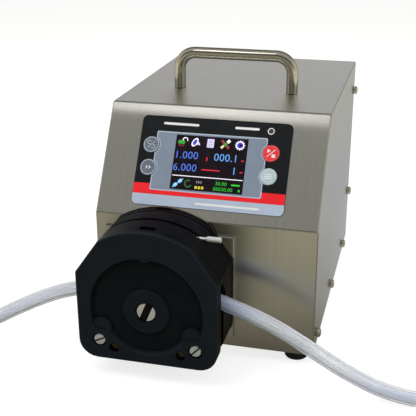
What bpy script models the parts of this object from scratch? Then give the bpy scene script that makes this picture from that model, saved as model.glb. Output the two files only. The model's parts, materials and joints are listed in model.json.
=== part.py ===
"""Bench peristaltic pump: a bent steel drive case with a sloping control panel, a carry handle and
rubber feet, and on its front a three-roller pump head with a swing lever, a lifting pressure block
and soft tubing.

Run with: blender --background --python part.py

Lengths are millimetres until placed() turns them into metres. X runs to the right, Y runs back from
the lower front panel, Z is up from the table. CENTRE_Y moves the middle of the pump to the origin.
"""

import math

import bmesh
import bpy
from mathutils import Matrix, Vector

MM = 0.001
GAP = 0.3
CENTRE_Y = 121.0

# Drive case: a bent shell (front, slope, top, sides) over an L-shaped base.
CASE_WIDTH = 220.0
CASE_DEPTH = 307.9
CASE_TOP = 239.8
CASE_UNDERSIDE = 12.0
BEND_HEIGHT = 143.2
SLOPE_SETBACK = 62.0
SHEET = 1.5
BACK_INSET = 2.0
BASE_FLANGE = 26.0
BACK_FLANGE = 34.0
SLOPE_LENGTH = math.hypot(SLOPE_SETBACK, CASE_TOP - BEND_HEIGHT)
SLOPE_UP = Vector((0, SLOPE_SETBACK, CASE_TOP - BEND_HEIGHT)) / SLOPE_LENGTH
SLOPE_OUT = Vector((0, -SLOPE_UP.z, SLOPE_UP.y))

# Carry handle, feet and cover screws.
HANDLE_SPAN = 120.0
HANDLE_BAR = 12.0
HANDLE_TOP = 283.5
HANDLE_BEND = 17.0
HANDLE_Y = 134.0
FOOT_RADIUS = 12.0
FOOT_PLACES = {
    "foot_front_left": (-91, 18),
    "foot_front_right": (91, 18),
    "foot_rear_left": (-91, 284),
    "foot_rear_right": (91, 284),
}
COVER_SCREW_PLACES = ((14, 31), (126, 30), (243, 28), (283, 83), (290, 209))
COVER_SCREW_RADIUS = 4.8

# Back panel: its outer face, and the holes in it across (x) and up (z).
BACK_FACE = CASE_DEPTH - BACK_INSET
INLET_HOLE = (54.3, 82.7)
INLET_HOLE_Z = (54.8, 75.2)
SWITCH_HOLE = (15.5, 35.5)
SWITCH_HOLE_Z = (53.5, 76.5)
SOCKET_HOLE = (-83.0, -43.0)
SOCKET_HOLE_Z = (59.0, 71.0)
VENT_ROWS = 9
VENT_PITCH = 9.0
VENT_LOW = 128.0

# Control panel, measured up the slope from the bend.
LABEL = (-75.0, 75.5, 11.5, 102.0)
LABEL_CORNER = 5.5
LABEL_FACE = 0.8
DISPLAY = (-37.9, 33.4, 29.6, 83.6)
KEY_RADIUS = 8.25
KEY_PLACES = {
    "key_direction": (-62.6, 72.0),
    "key_fast": (-62.6, 49.0),
    "key_start_stop": (56.8, 71.6),
    "key_mode": (56.8, 48.8),
}
LAMP_PLACE = (54.5, 93.4)
LAMP_RADIUS = 3.6

# Pump head. Its outline is measured from the rotor axis, and its depths from the lower front panel.
AXIS_X = -38.0
AXIS_Z = 75.5
HEAD_HALF_WIDTH = 67.8
HEAD_TOP_RADIUS = 80.6
HEAD_CREASE_X = 44.4
HEAD_CREASE_Z = math.sqrt(HEAD_TOP_RADIUS**2 - HEAD_CREASE_X**2)
HEAD_SHOULDER_Z = 34.3
COVER_BOTTOM_Z = -54.0
BODY_BOTTOM_Z = -44.5
PLATE_FACE_Y = -3.3
ADAPTER_FACE_Y = -5.5
FLANGE_FACE_Y = -12.2
BODY_BACK_Y = -13.4
CAP_BACK_Y = -13.9
CAP_FRONT_Y = -32.9
VISOR_BACK_Y = -37.1
LEVER_Y = -35.0
BODY_FRONT_Y = -51.7
COVER_BACK_Y = -52.0
COVER_FRONT_Y = -68.5
SIDE_SLOT_BACK_Y = -42.0
TUBE_Y = -43.8
DISH_RADIUS = 54.5
DISH_LOWER_RADIUS = 44.0
DISH_DEPTH = 3.2
DISH_SLOPE = 2.6
EAR_PLACE = (44.5, -21.0)
EAR_RADIUS = 11.0
BOSS_RADIUS = 23.4
BORE_RADIUS = 10.3
HEAD_SCREW_PLACE = (47.0, -34.2)
DRAIN_PLACE = (32.8, -41.2)
WINDOW_X = 0.8
WINDOW_HALF = 7.5

# Rotor, track and pressure block.
ROLLER_RADIUS = 10.0
ROLLER_PITCH = 29.7
PIN_RADIUS = 2.5
TRACK_RADIUS = 44.0
CHAMBER_RADIUS = 45.5
BLOCK_HALF_WIDTH = 42.2
BLOCK_LIFT = 10.0
BLOCK_LEG_Z = 24.0
JAW_TOP_Z = 48.5
CAP_UNDERSIDE_Z = 58.8
SLOT_WIDTH = 7.0
SLOT_TILT = math.radians(22.8)

# Lever: it turns on a pin under the cover's visor, and its crank pin lifts the block.
LEVER_PIVOT_Z = 66.0
LEVER_CRANK = BLOCK_LIFT / 2
LEVER_ROD_RADIUS = 1.5
LEVER_NECK_END = 50.2
LEVER_GRIP_END = 64.0
LEVER_GRIP_RADIUS = 2.6

# Drive train behind the front panel.
GEAR_MODULE = 1.25
PINION_TEETH = 12
GEAR_TEETH = 36
GEAR_CENTRES = GEAR_MODULE * (PINION_TEETH + GEAR_TEETH) / 2 + 0.25
GEAR_Y = (14.0, 22.0)

# Tubing: outside diameter, flattened thickness under the rollers, and the free stretches' routes.
TUBE_RADIUS = 7.1
TUBE_FLAT_HALF = 1.8
TUBE_FLAT_WIDTH_HALF = 9.4
TUBE_JOIN = (61.0, 8.9)
TUBE_EXIT_SLOPE = -0.25
TUBE_RIGHT_ROUTE = (
    (23.3, 84.32), (31, 82.2), (46, 77.2), (61, 71.6), (77, 64.9), (96, 54.9), (116, 43.3), (131, 34.4),
    (146, 26.3), (163, 18.4), (181, 12.0), (201, 8.2), (222, 7.4), (240, 7.4),
)
TUBE_LEFT_ROUTE = (
    (-99.3, 84.32), (-107, 82.5), (-118, 79.5), (-133, 74.4), (-148, 67.8), (-166, 58.6), (-184, 48.6),
    (-202, 37.8), (-219, 26.8), (-235, 17.0), (-250, 10.0), (-264, 7.6), (-278, 7.4),
)


# ---------------------------------------------------------------------------------------------
# Scene, materials and object making
# ---------------------------------------------------------------------------------------------


def placed(x, y, z):
    """A point of the pump, in metres and with the pump's middle at the origin."""
    return Vector((x, y - CENTRE_Y, z)) * MM


def clear_scene():
    for obj in list(bpy.data.objects):
        bpy.data.objects.remove(obj, do_unlink=True)
    pump = bpy.data.collections.new("peristaltic_pump")
    cutters = bpy.data.collections.new("cutters")
    bpy.context.scene.collection.children.link(pump)
    bpy.context.scene.collection.children.link(cutters)
    return pump, cutters


PUMP, CUTTERS = clear_scene()


def finish(name, colour, roughness, metallic=0.0, transmission=0.0):
    """A Principled material, made once for each name."""
    if name in bpy.data.materials:
        return bpy.data.materials[name]
    material = bpy.data.materials.new(name)
    material.use_nodes = True
    shader = material.node_tree.nodes["Principled BSDF"]
    shader.inputs["Base Color"].default_value = (*colour, 1)
    shader.inputs["Roughness"].default_value = roughness
    shader.inputs["Metallic"].default_value = metallic
    shader.inputs["Transmission Weight"].default_value = transmission
    material.diffuse_color = (*colour, 1)
    return material


def brushed_steel():
    return finish("brushed_steel", (0.46, 0.45, 0.41), 0.32, 1.0)


def bright_steel():
    return finish("bright_steel", (0.62, 0.61, 0.58), 0.2, 1.0)


def black_plastic():
    return finish("black_plastic", (0.016, 0.02, 0.024), 0.5)


def tubing():
    return finish("soft_tubing", (0.72, 0.76, 0.84), 0.3, 0.0, 0.4)


def make(name, mesh, material, origin=(0, 0, 0), smooth=True):
    """An object from a bmesh drawn in millimetres, with its origin at a point of the pump."""
    place = placed(*origin)
    bmesh.ops.recalc_face_normals(mesh, faces=mesh.faces)
    for vertex in mesh.verts:
        vertex.co = placed(*vertex.co) - place
    data = bpy.data.meshes.new(name)
    mesh.to_mesh(data)
    mesh.free()
    data.materials.append(material)
    obj = bpy.data.objects.new(name, data)
    obj.location = place
    PUMP.objects.link(obj)
    if smooth:
        data.shade_smooth()
        data.set_sharp_from_angle(angle=math.radians(32))
    return obj


def combine(obj, mesh, operation):
    """Adds a Boolean with a helper object that stays out of the render."""
    helper = make(f"{obj.name}_{operation.lower()}_{len(obj.modifiers)}", mesh, brushed_steel())
    PUMP.objects.unlink(helper)
    CUTTERS.objects.link(helper)
    helper.hide_render = True
    helper.display_type = "WIRE"
    modifier = obj.modifiers.new(operation.title(), "BOOLEAN")
    modifier.operation = operation
    modifier.solver = "EXACT"
    modifier.object = helper


def cut(obj, mesh):
    combine(obj, mesh, "DIFFERENCE")


def join(obj, mesh):
    combine(obj, mesh, "UNION")


# ---------------------------------------------------------------------------------------------
# Outlines
# ---------------------------------------------------------------------------------------------


def arc(centre, radius, start, end, steps):
    """Points on an arc, from one angle to another in degrees, anticlockwise when end > start."""
    angles = [math.radians(start + (end - start) * i / steps) for i in range(steps + 1)]
    return [(centre[0] + radius * math.cos(a), centre[1] + radius * math.sin(a)) for a in angles]


def circle(centre, radius, steps=32):
    return arc(centre, radius, 0, 360 * (steps - 1) / steps, steps - 1)


def rounded(corners, steps=4):
    """An outline from corners (a, b, radius), with each rounded corner drawn as an arc."""
    outline = []
    for i, (a, b, radius) in enumerate(corners):
        here = Vector((a, b))
        if not radius:
            outline.append((a, b))
            continue
        before = (Vector(corners[i - 1][:2]) - here).normalized()
        after = (Vector(corners[(i + 1) % len(corners)][:2]) - here).normalized()
        half = before.angle(after) / 2
        middle = here + (before + after).normalized() * (radius / math.sin(half))
        first = here + before * (radius / math.tan(half)) - middle
        last = here + after * (radius / math.tan(half)) - middle
        turn = first.angle_signed(last)
        for step in range(steps + 1):
            outline.append(tuple(middle + Matrix.Rotation(-turn * step / steps, 2) @ first))
    return outline


def rectangle(a0, a1, b0, b1, radius=0.0, steps=4):
    return rounded([(a0, b0, radius), (a1, b0, radius), (a1, b1, radius), (a0, b1, radius)], steps)


def inset(outline, distance):
    """The outline moved inwards; it runs anticlockwise. A negative distance moves it outwards."""
    moved = []
    for i, point in enumerate(outline):
        here = Vector(point)
        before = (here - Vector(outline[i - 1])).normalized()
        after = (Vector(outline[(i + 1) % len(outline)]) - here).normalized()
        normal_before = Vector((-before.y, before.x))
        normal_after = Vector((-after.y, after.x))
        middle = (normal_before + normal_after).normalized()
        moved.append(tuple(here + middle * (distance / max(middle.dot(normal_before), 0.2))))
    return moved


# ---------------------------------------------------------------------------------------------
# Solids
# ---------------------------------------------------------------------------------------------


def on_slope(a, b, height):
    """A point of the sloping panel: across, up the slope from the bend, and out from its face."""
    base = Vector((a, 0, BEND_HEIGHT)) + SLOPE_UP * b + SLOPE_OUT * height
    return tuple(base)


# How an outline's two coordinates and its depth become a point, for each direction it can face.
SPREAD = {
    "X": lambda a, b, depth: (depth, a, b),
    "Y": lambda a, b, depth: (a, depth, b),
    "Z": lambda a, b, depth: (a, b, depth),
    "slope": on_slope,
}


def extruded(layers, axis, mesh=None):
    """A closed solid: a flat outline, extruded through outlines of equal length at further depths."""
    mesh = mesh or bmesh.new()
    spread = SPREAD[axis]
    outline, depth = layers[0]
    face = mesh.faces.new([mesh.verts.new(spread(a, b, depth)) for a, b in outline])
    for outline, depth in layers[1:]:
        grown = bmesh.ops.extrude_face_region(mesh, geom=[face, *face.edges])["geom"]
        face = next(item for item in grown if isinstance(item, bmesh.types.BMFace))
        for vertex, (a, b) in zip(face.verts, outline):
            vertex.co = spread(a, b, depth)
    return mesh


def prism(outline, axis, low, high, mesh=None):
    return extruded([(outline, low), (outline, high)], axis, mesh)


def block(x0, x1, y0, y1, z0, z1, mesh=None):
    mesh = mesh or bmesh.new()
    middle = Matrix.Translation(((x0 + x1) / 2, (y0 + y1) / 2, (z0 + z1) / 2))
    bmesh.ops.create_cube(mesh, size=1, matrix=middle @ Matrix.Diagonal((x1 - x0, y1 - y0, z1 - z0, 1)))
    return mesh


def edged(outline, axis, low, high, chamfer_low=0.0, chamfer_high=0.0, mesh=None):
    """A prism whose end edges are chamfered."""
    layers = [(outline, low), (outline, high)]
    if chamfer_low:
        layers[0:1] = [(inset(outline, chamfer_low), low), (outline, low + chamfer_low)]
    if chamfer_high:
        layers[-1:] = [(outline, high - chamfer_high), (inset(outline, chamfer_high), high)]
    return extruded(layers, axis, mesh)


def turned(profile, centre, axis, steps=32, mesh=None):
    """A profile of (radius, depth) points spun about an axis. Ends that reach the axis are flat."""
    mesh = mesh or bmesh.new()
    spread = SPREAD[axis]
    off_axis = [(centre[0] + radius, centre[1], depth) for radius, depth in profile if radius]
    points = [mesh.verts.new(spread(*point)) for point in off_axis]
    line = [mesh.edges.new(ends) for ends in zip(points, points[1:])]
    start = Vector(spread(*centre, 0))
    along = Vector(spread(*centre, 1)) - start
    bmesh.ops.spin(mesh, geom=line, cent=start, axis=along, angle=2 * math.pi, steps=steps)
    bmesh.ops.remove_doubles(mesh, verts=mesh.verts, dist=0.002)
    bmesh.ops.holes_fill(mesh, edges=[edge for edge in mesh.edges if edge.is_boundary])
    return mesh


def disc(centre, radius, axis, low, high, steps=32, mesh=None):
    return turned([(0, low), (radius, low), (radius, high), (0, high)], centre, axis, steps, mesh)


def ring(outer, inner, centre, axis, low, high, steps=32):
    loop = [(inner, low), (outer, low), (outer, high), (inner, high), (inner, low)]
    return turned(loop, centre, axis, steps)


def bar_along(points, radius, sides):
    """A round bar along a line of points: a poly curve with a bevel and filled ends, as a mesh."""
    curve = bpy.data.curves.new("bar", "CURVE")
    curve.dimensions = "3D"
    curve.bevel_depth = radius
    curve.bevel_resolution = sides // 2 - 2
    curve.use_fill_caps = True
    spline = curve.splines.new("POLY")
    spline.points.add(len(points) - 1)
    for knot, point in zip(spline.points, points):
        knot.co = (*point, 1)
    obj = bpy.data.objects.new("bar", curve)
    mesh = bmesh.new()
    mesh.from_mesh(obj.to_mesh())
    bmesh.ops.remove_doubles(mesh, verts=mesh.verts, dist=0.002)
    bpy.data.objects.remove(obj)
    return mesh


def smooth_route(knots, per_span):
    """Points on a Catmull-Rom curve through the knots."""
    knots = [Vector(knot) for knot in knots]
    ends = [knots[0] * 2 - knots[1], *knots, knots[-1] * 2 - knots[-2]]
    route = []
    for before, start, end, after in zip(ends, ends[1:], ends[2:], ends[3:]):
        for step in range(per_span):
            t = step / per_span
            route.append(
                0.5
                * (
                    2 * start
                    + (end - before) * t
                    + (2 * before - 5 * start + 4 * end - after) * t**2
                    + (3 * start - before - 3 * end + after) * t**3
                )
            )
    return [*route, knots[-1]]


# ---------------------------------------------------------------------------------------------
# Drive case
# ---------------------------------------------------------------------------------------------


def case_profile(bend):
    """The case from the side, anticlockwise in (y, z), open shapes closed at the underside."""
    return rounded(
        [
            (0, CASE_UNDERSIDE, 0),
            (CASE_DEPTH, CASE_UNDERSIDE, 0),
            (CASE_DEPTH, CASE_TOP, 0),
            (SLOPE_SETBACK, CASE_TOP, bend),
            (0, BEND_HEIGHT, bend),
        ]
    )


def casing_shell():
    half = CASE_WIDTH / 2
    profile = case_profile(3.0)
    mesh = edged(profile, "X", -half, half, 1.2, 1.2)
    obj = make("casing_shell", mesh, brushed_steel())
    inner = inset(case_profile(0), SHEET)
    inner[0] = (inner[0][0], CASE_UNDERSIDE - 20)
    inner[1] = (CASE_DEPTH + 20, CASE_UNDERSIDE - 20)
    inner[2] = (CASE_DEPTH + 20, inner[2][1])
    cut(obj, prism(inner, "X", -half + SHEET, half - SHEET))

    panel = prism(display_outline(0.8), "slope", -5, 5)
    for place in KEY_PLACES.values():
        disc(place, 3.4, "slope", -5, 5, 12, panel)
    disc(LAMP_PLACE, 2.7, "slope", -5, 5, 12, panel)
    cut(obj, panel)
    cut(obj, disc((AXIS_X, AXIS_Z), 12.0, "Y", -5, 5, 32))

    holes = bmesh.new()
    for x in (-HANDLE_SPAN / 2, HANDLE_SPAN / 2):
        disc((x, HANDLE_Y), 2.9, "Z", CASE_TOP - 8, CASE_TOP + 5, 12, holes)
    for place in COVER_SCREW_PLACES:
        disc(place, 2.4, "X", -half - 5, -half + 8, 8, holes)
        disc(place, 2.4, "X", half - 8, half + 5, 8, holes)
    cut(obj, holes)


def base_chassis():
    """Bottom and back plates with the side flanges that the cover screws hold."""
    half = CASE_WIDTH / 2 - SHEET - GAP
    back = BACK_FACE
    low = CASE_UNDERSIDE
    front = SHEET + GAP
    top = CASE_TOP - SHEET - GAP
    outline = [
        (front, low), (back, low), (back, top), (back - BACK_FLANGE, top),
        (back - BACK_FLANGE, low + BASE_FLANGE), (front, low + BASE_FLANGE),
    ]
    obj = make("base_chassis", prism(outline, "X", -half, half), brushed_steel())
    cut(obj, block(-half + SHEET, half - SHEET, front - 20, back - SHEET, low + SHEET, top + 20))

    holes = bmesh.new()
    for place in COVER_SCREW_PLACES:
        disc(place, 2.4, "X", -half - 5, -half + 5, 8, holes)
        disc(place, 2.4, "X", half - 5, half + 5, 8, holes)
    for x, y in FOOT_PLACES.values():
        disc((x, y), 3.4, "Z", low - 5, low + 5, 10, holes)
    cut(obj, holes)

    openings = bmesh.new()
    block(*INLET_HOLE, back - 5, back + 5, *INLET_HOLE_Z, openings)
    block(*SWITCH_HOLE, back - 5, back + 5, *SWITCH_HOLE_Z, openings)
    block(*SOCKET_HOLE, back - 5, back + 5, *SOCKET_HOLE_Z, openings)
    for row in range(VENT_ROWS):
        z = VENT_LOW + VENT_PITCH * row
        prism(rectangle(-62, 62, z, z + 4.0, 1.9, 1), "Y", back - 5, back + 5, openings)
    cut(obj, openings)


def carry_handle():
    """A bent round bar with a tapped hole up each leg."""
    half = HANDLE_SPAN / 2
    level = HANDLE_TOP - HANDLE_BAR / 2
    foot = CASE_TOP + GAP
    left = arc((-half + HANDLE_BEND, level - HANDLE_BEND), HANDLE_BEND, 180, 90, 7)
    right = arc((half - HANDLE_BEND, level - HANDLE_BEND), HANDLE_BEND, 90, 0, 7)
    path = [(x, HANDLE_Y, z) for x, z in [(-half, foot), *left, *right, (half, foot)]]
    obj = make("carry_handle", bar_along(path, HANDLE_BAR / 2, 16), bright_steel())
    bores = bmesh.new()
    for x in (-half, half):
        disc((x, HANDLE_Y), 2.7, "Z", foot - 5, foot + 14, 12, bores)
    cut(obj, bores)


def handle_bolts():
    under = CASE_TOP - SHEET - GAP
    for name, x in (("handle_bolt_left", -HANDLE_SPAN / 2), ("handle_bolt_right", HANDLE_SPAN / 2)):
        profile = [
            (0, under - 4.5), (4.2, under - 4.5), (4.6, under - 4), (4.6, under - 1.2),
            (6.5, under - 1.2), (6.5, under), (2.4, under), (2.4, CASE_TOP + 12), (0, CASE_TOP + 12),
        ]
        make(name, turned(profile, (x, HANDLE_Y), "Z", 12), bright_steel())


def rubber_feet():
    """Round feet with a push-in stem through the base."""
    top = CASE_UNDERSIDE - GAP
    profile = [
        (0, 0), (FOOT_RADIUS - 2.5, 0), (FOOT_RADIUS - 0.6, 1.2), (FOOT_RADIUS, 3.5),
        (FOOT_RADIUS - 0.5, top), (3.0, top), (3.0, top + 4), (0, top + 4),
    ]
    rubber = finish("black_rubber", (0.02, 0.02, 0.021), 0.75)
    for name, place in FOOT_PLACES.items():
        make(name, turned(profile, place, "Z", 20), rubber)


def cover_screws():
    """Domed screws on a spring washer, five to a side."""
    face = CASE_WIDTH / 2 + 0.1
    radius = COVER_SCREW_RADIUS
    for side, sign in (("left", -1), ("right", 1)):
        for number, place in enumerate(COVER_SCREW_PLACES, 1):
            profile = [
                (0, face - 7.5), (1.9, face - 7.5), (1.9, face), (radius - 0.3, face),
                (radius - 0.3, face + 1.1), (radius, face + 1.2), (radius, face + 3.1),
                (radius - 1.0, face + 4.6), (radius - 2.6, face + 5.2), (0, face + 5.2),
            ]
            signed = [(r, depth * sign) for r, depth in profile]
            make(f"cover_screw_{side}_{number}", turned(signed, place, "X", 10), bright_steel())


# ---------------------------------------------------------------------------------------------
# Control panel on the slope
# ---------------------------------------------------------------------------------------------


def display_outline(margin):
    """The display's rectangle on the slope, grown on every side."""
    left, right, low, high = DISPLAY
    return rectangle(left - margin, right + margin, low - margin, high + margin)


def keypad_overlay():
    outline = rectangle(*LABEL, LABEL_CORNER, 6)
    obj = make("keypad_overlay", prism(outline, "slope", 0.1, LABEL_FACE),
               finish("panel_film", (0.018, 0.02, 0.024), 0.35))
    holes = prism(display_outline(0.3), "slope", -2, 4)
    for place in KEY_PLACES.values():
        disc(place, KEY_RADIUS + 0.35, "slope", -2, 4, 24, holes)
    disc(LAMP_PLACE, LAMP_RADIUS + 0.3, "slope", -2, 4, 16, holes)
    cut(obj, holes)


def display_screen():
    outline = rectangle(*DISPLAY, 0.6, 2)
    make("display_screen", edged(outline, "slope", -2.2, LABEL_FACE - 0.1, 0, 0.1),
         finish("display_glass", (0.012, 0.012, 0.02), 0.12))


def panel_board():
    """Circuit board behind the slope, with the display module and a switch under each key."""
    obj = make("panel_board", prism(rectangle(-72, 68, 22, 99, 2), "slope", -13.6, -12),
               finish("circuit_board", (0.02, 0.16, 0.07), 0.5))
    join(obj, prism(display_outline(4), "slope", -12.5, -2.6))
    switches = bmesh.new()
    for a, b in KEY_PLACES.values():
        prism(rectangle(a - 3, a + 3, b - 3, b + 3), "slope", -12.5, -9, switches)
    disc(LAMP_PLACE, 2.4, "slope", -12.5, -9, 12, switches)
    join(obj, switches)


def keys():
    """Round push keys: a cap in the label's hole, and a stem to the switch behind."""
    finishes = {
        "key_direction": finish("key_grey_blue", (0.09, 0.12, 0.16), 0.4),
        "key_fast": finish("key_grey_blue", (0.09, 0.12, 0.16), 0.4),
        "key_start_stop": finish("key_red", (0.78, 0.03, 0.04), 0.4),
        "key_mode": finish("key_pale_green", (0.42, 0.56, 0.55), 0.4),
    }
    for name, place in KEY_PLACES.items():
        profile = [
            (0, -8.4), (2.6, -8.4), (2.6, 0.6), (KEY_RADIUS, 0.6), (KEY_RADIUS, 1.25),
            (KEY_RADIUS - 0.5, 1.6), (KEY_RADIUS - 1.6, 1.7), (0, 1.7),
        ]
        make(name, turned(profile, place, "slope", 24), finishes[name], on_slope(*place, 0))


def status_lamp():
    profile = [
        (0, -8.4), (2.2, -8.4), (2.2, 0.3), (LAMP_RADIUS, 0.3), (LAMP_RADIUS, 1.0),
        (LAMP_RADIUS - 0.4, 1.3), (2.2, 1.3), (1.9, 1.0), (0, 1.0),
    ]
    lens = finish("lamp_lens", (0.06, 0.06, 0.065), 0.3)
    make("status_lamp", turned(profile, LAMP_PLACE, "slope", 16), lens)


# ---------------------------------------------------------------------------------------------
# Pump head
# ---------------------------------------------------------------------------------------------


def head_point(x, z):
    return (AXIS_X + x, AXIS_Z + z)


def around_axis(outline):
    return [head_point(x, z) for x, z in outline]


def head_outline(bottom, corner):
    """The head from the front: arched top, sloping shoulders, straight sides and rounded lower corners."""
    half = HEAD_HALF_WIDTH
    crease = math.degrees(math.atan2(HEAD_CREASE_Z, HEAD_CREASE_X))
    box = [(-half, bottom, corner), (half, bottom, corner), (half, 200, 0), (-half, 200, 0)]
    lower = rounded(box, 6)[:-2]
    left = lower[: len(lower) // 2]
    right = lower[len(lower) // 2 :]
    shoulders_right = [(half, HEAD_SHOULDER_Z)]
    top = arc((0, 0), HEAD_TOP_RADIUS, crease, 180 - crease, 14)
    shoulders_left = [(-half, HEAD_SHOULDER_Z)]
    return around_axis(left + right + shoulders_right + top + shoulders_left)


def visor_outline(outer, inner):
    """The arched strip over the block, from crease to crease."""
    limit = math.degrees(math.asin(BLOCK_HALF_WIDTH / HEAD_TOP_RADIUS))
    over = arc((0, 0), outer, 90 - limit, 90 + limit, 14)
    under = arc((0, 0), inner, 90 + limit, 90 - limit, 10)
    return around_axis(over + under)


def dish_outline(grow):
    """The wide part of the cover's dished area: a round top closed by a straight line above the screws."""
    radius = DISH_RADIUS + grow
    start = math.degrees(math.asin((EAR_PLACE[1] - 1.0) / radius))
    return around_axis(arc((0, 0), radius, start, 180 - start, 30))


def head_front_cover():
    outline = head_outline(COVER_BOTTOM_Z, 18)
    cover = edged(outline, "Y", COVER_FRONT_Y, COVER_BACK_Y, 1.3, 0.4)
    obj = make("head_front_cover", cover, black_plastic())
    join(obj, prism(visor_outline(HEAD_TOP_RADIUS, 76.4), "Y", COVER_BACK_Y - 3, VISOR_BACK_Y))
    join(obj, disc(head_point(0, LEVER_PIVOT_Z), 5.0, "Y", COVER_BACK_Y - 3, VISOR_BACK_Y - 0.4, 24))

    front = COVER_FRONT_Y
    floor = front + DISH_DEPTH
    slope = DISH_SLOPE
    wide = [(dish_outline(slope / 2), front - DISH_DEPTH / 2), (dish_outline(-slope / 2), floor)]
    cut(obj, extruded(wide, "Y"))
    narrow = [
        (0, front - DISH_DEPTH / 2), (DISH_LOWER_RADIUS + slope, front - DISH_DEPTH / 2),
        (DISH_LOWER_RADIUS - slope, floor + 0.1), (0, floor + 0.1),
    ]
    cut(obj, turned(narrow, head_point(0, 0), "Y", 40))
    boss = [
        (0, front + 1.4), (BOSS_RADIUS - 1.8, front + 1.4), (BOSS_RADIUS, floor - 0.2),
        (BOSS_RADIUS, floor + 1), (0, floor + 1),
    ]
    raised = turned(boss, head_point(0, 0), "Y", 32)
    ear = [
        (0, front + 0.5), (EAR_RADIUS - 3.0, front + 0.5), (EAR_RADIUS - 0.8, front + 1.5),
        (EAR_RADIUS, floor - 0.3), (EAR_RADIUS, floor + 1.2), (0, floor + 1.2),
    ]
    for side in (-1, 1):
        turned(ear, head_point(side * EAR_PLACE[0], EAR_PLACE[1]), "Y", 20, raised)
    tongue = [
        (0, front + 0.4), (11.0, front + 0.4), (12.5, floor - 0.4), (12.5, floor + 1.2), (0, floor + 1.2),
    ]
    turned(tongue, head_point(0, DISH_RADIUS + 8), "Y", 24, raised)
    join(obj, raised)

    through = disc(head_point(0, 0), BORE_RADIUS, "Y", front - 2, COVER_BACK_Y + 2, 32)
    for side in (-1, 1):
        x, z = HEAD_SCREW_PLACE
        disc(head_point(side * x, z), 3.0, "Y", front - 2, COVER_BACK_Y + 2, 12, through)
    cut(obj, through)
    counterbores = bmesh.new()
    for side in (-1, 1):
        x, z = HEAD_SCREW_PLACE
        disc(head_point(side * x, z), 7.0, "Y", front - 2, front + 5.5, 20, counterbores)
        x, z = DRAIN_PLACE
        disc(head_point(side * x, z), 4.8, "Y", front - 2, front + 9, 16, counterbores)
    window = AXIS_X + WINDOW_X
    block(window - WINDOW_HALF, window + WINDOW_HALF, -60.2, -53.3, 148, 165, counterbores)
    cut(obj, counterbores)

    # Room behind for the rotor, its front disc, the block and the pivot pin.
    cut(obj, disc(head_point(0, 0), CHAMBER_RADIUS, "Y", -58.4, COVER_BACK_Y + 3, 36))
    cut(obj, disc(head_point(0, 0), 35.5, "Y", -61.6, COVER_BACK_Y + 2, 32))
    well = BLOCK_HALF_WIDTH + GAP
    top = JAW_TOP_Z + BLOCK_LIFT + 0.8
    cut(obj, block(AXIS_X - well, AXIS_X + well, -58.1, COVER_BACK_Y + 1, AXIS_Z, AXIS_Z + top))
    cut(obj, disc(head_point(0, LEVER_PIVOT_Z), 2.3, "Y", -60, VISOR_BACK_Y + 2, 12))


def well_outline():
    """Rotor chamber and, above it, the well that the pressure block rises in."""
    well = BLOCK_HALF_WIDTH + GAP
    start = math.degrees(math.acos(well / CHAMBER_RADIUS))
    chamber = arc((0, 0), CHAMBER_RADIUS, 180 - start, 360 + start, 30)
    return around_axis([(well, 100), (-well, 100), *chamber])


def mirrored(outline):
    return [(-x, z) for x, z in reversed(outline)]


def head_middle_body():
    """The body behind the cover: rotor chamber, well for the pressure block, tube ways and side slots."""
    outline = head_outline(BODY_BOTTOM_Z, 10)
    body = edged(outline, "Y", BODY_FRONT_Y, BODY_BACK_Y, 0.4, 0.4)
    obj = make("head_middle_body", body, black_plastic())
    cut(obj, prism(well_outline(), "Y", BODY_FRONT_Y - 3, -26.3))
    well = BLOCK_HALF_WIDTH + GAP
    low = AXIS_Z + CAP_UNDERSIDE_Z - 0.5
    cut(obj, block(AXIS_X - well, AXIS_X + well, -27.0, BODY_BACK_Y + 3, low, AXIS_Z + 101))
    cut(obj, disc(head_point(0, 0), 7.7, "Y", -30, BODY_BACK_Y + 4, 32))

    way = [(30, 2.5), (56, 0.4), (75, -4.6), (75, 18.6), (58, 20), (46, 24), (30, 26)]
    ways = prism(around_axis(way), "Y", BODY_FRONT_Y - 4, TUBE_Y + TUBE_RADIUS + 1.4)
    prism(around_axis(mirrored(way)), "Y", BODY_FRONT_Y - 4, TUBE_Y + TUBE_RADIUS + 1.4, ways)
    cut(obj, ways)
    slot = rectangle(HEAD_HALF_WIDTH - 10.5, HEAD_HALF_WIDTH + 5, BODY_BOTTOM_Z - 5, 27.5)
    slots = prism(around_axis(slot), "Y", BODY_FRONT_Y - 5, SIDE_SLOT_BACK_Y)
    prism(around_axis(mirrored(slot)), "Y", BODY_FRONT_Y - 5, SIDE_SLOT_BACK_Y, slots)
    cut(obj, slots)
    notch = rectangle(38, 60, LEVER_PIVOT_Z - 3.2, 90)
    notches = prism(around_axis(notch), "Y", VISOR_BACK_Y - 0.1, CAP_FRONT_Y + 0.1)
    prism(around_axis(mirrored(notch)), "Y", VISOR_BACK_Y - 0.1, CAP_FRONT_Y + 0.1, notches)
    cut(obj, notches)
    screws = bmesh.new()
    for side in (-1, 1):
        x, z = HEAD_SCREW_PLACE
        disc(head_point(side * x, z), 3.0, "Y", BODY_FRONT_Y - 6, BODY_BACK_Y + 5, 12, screws)
    cut(obj, screws)


def head_rear_flange():
    outline = head_outline(BODY_BOTTOM_Z, 10)
    flange = edged(outline, "Y", FLANGE_FACE_Y, ADAPTER_FACE_Y - GAP, 0.4, 0.2)
    obj = make("head_rear_flange", flange, black_plastic())
    cut(obj, disc(head_point(0, 0), 7.7, "Y", FLANGE_FACE_Y - 5, ADAPTER_FACE_Y + 5, 32))
    holes = bmesh.new()
    for side in (-1, 1):
        x, z = HEAD_SCREW_PLACE
        disc(head_point(side * x, z), 3.0, "Y", FLANGE_FACE_Y - 6, ADAPTER_FACE_Y + 6, 12, holes)
    window = AXIS_X + WINDOW_X
    block(window - WINDOW_HALF, window + WINDOW_HALF, -10.4, -7.2, 148, 165, holes)
    cut(obj, holes)


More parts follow.
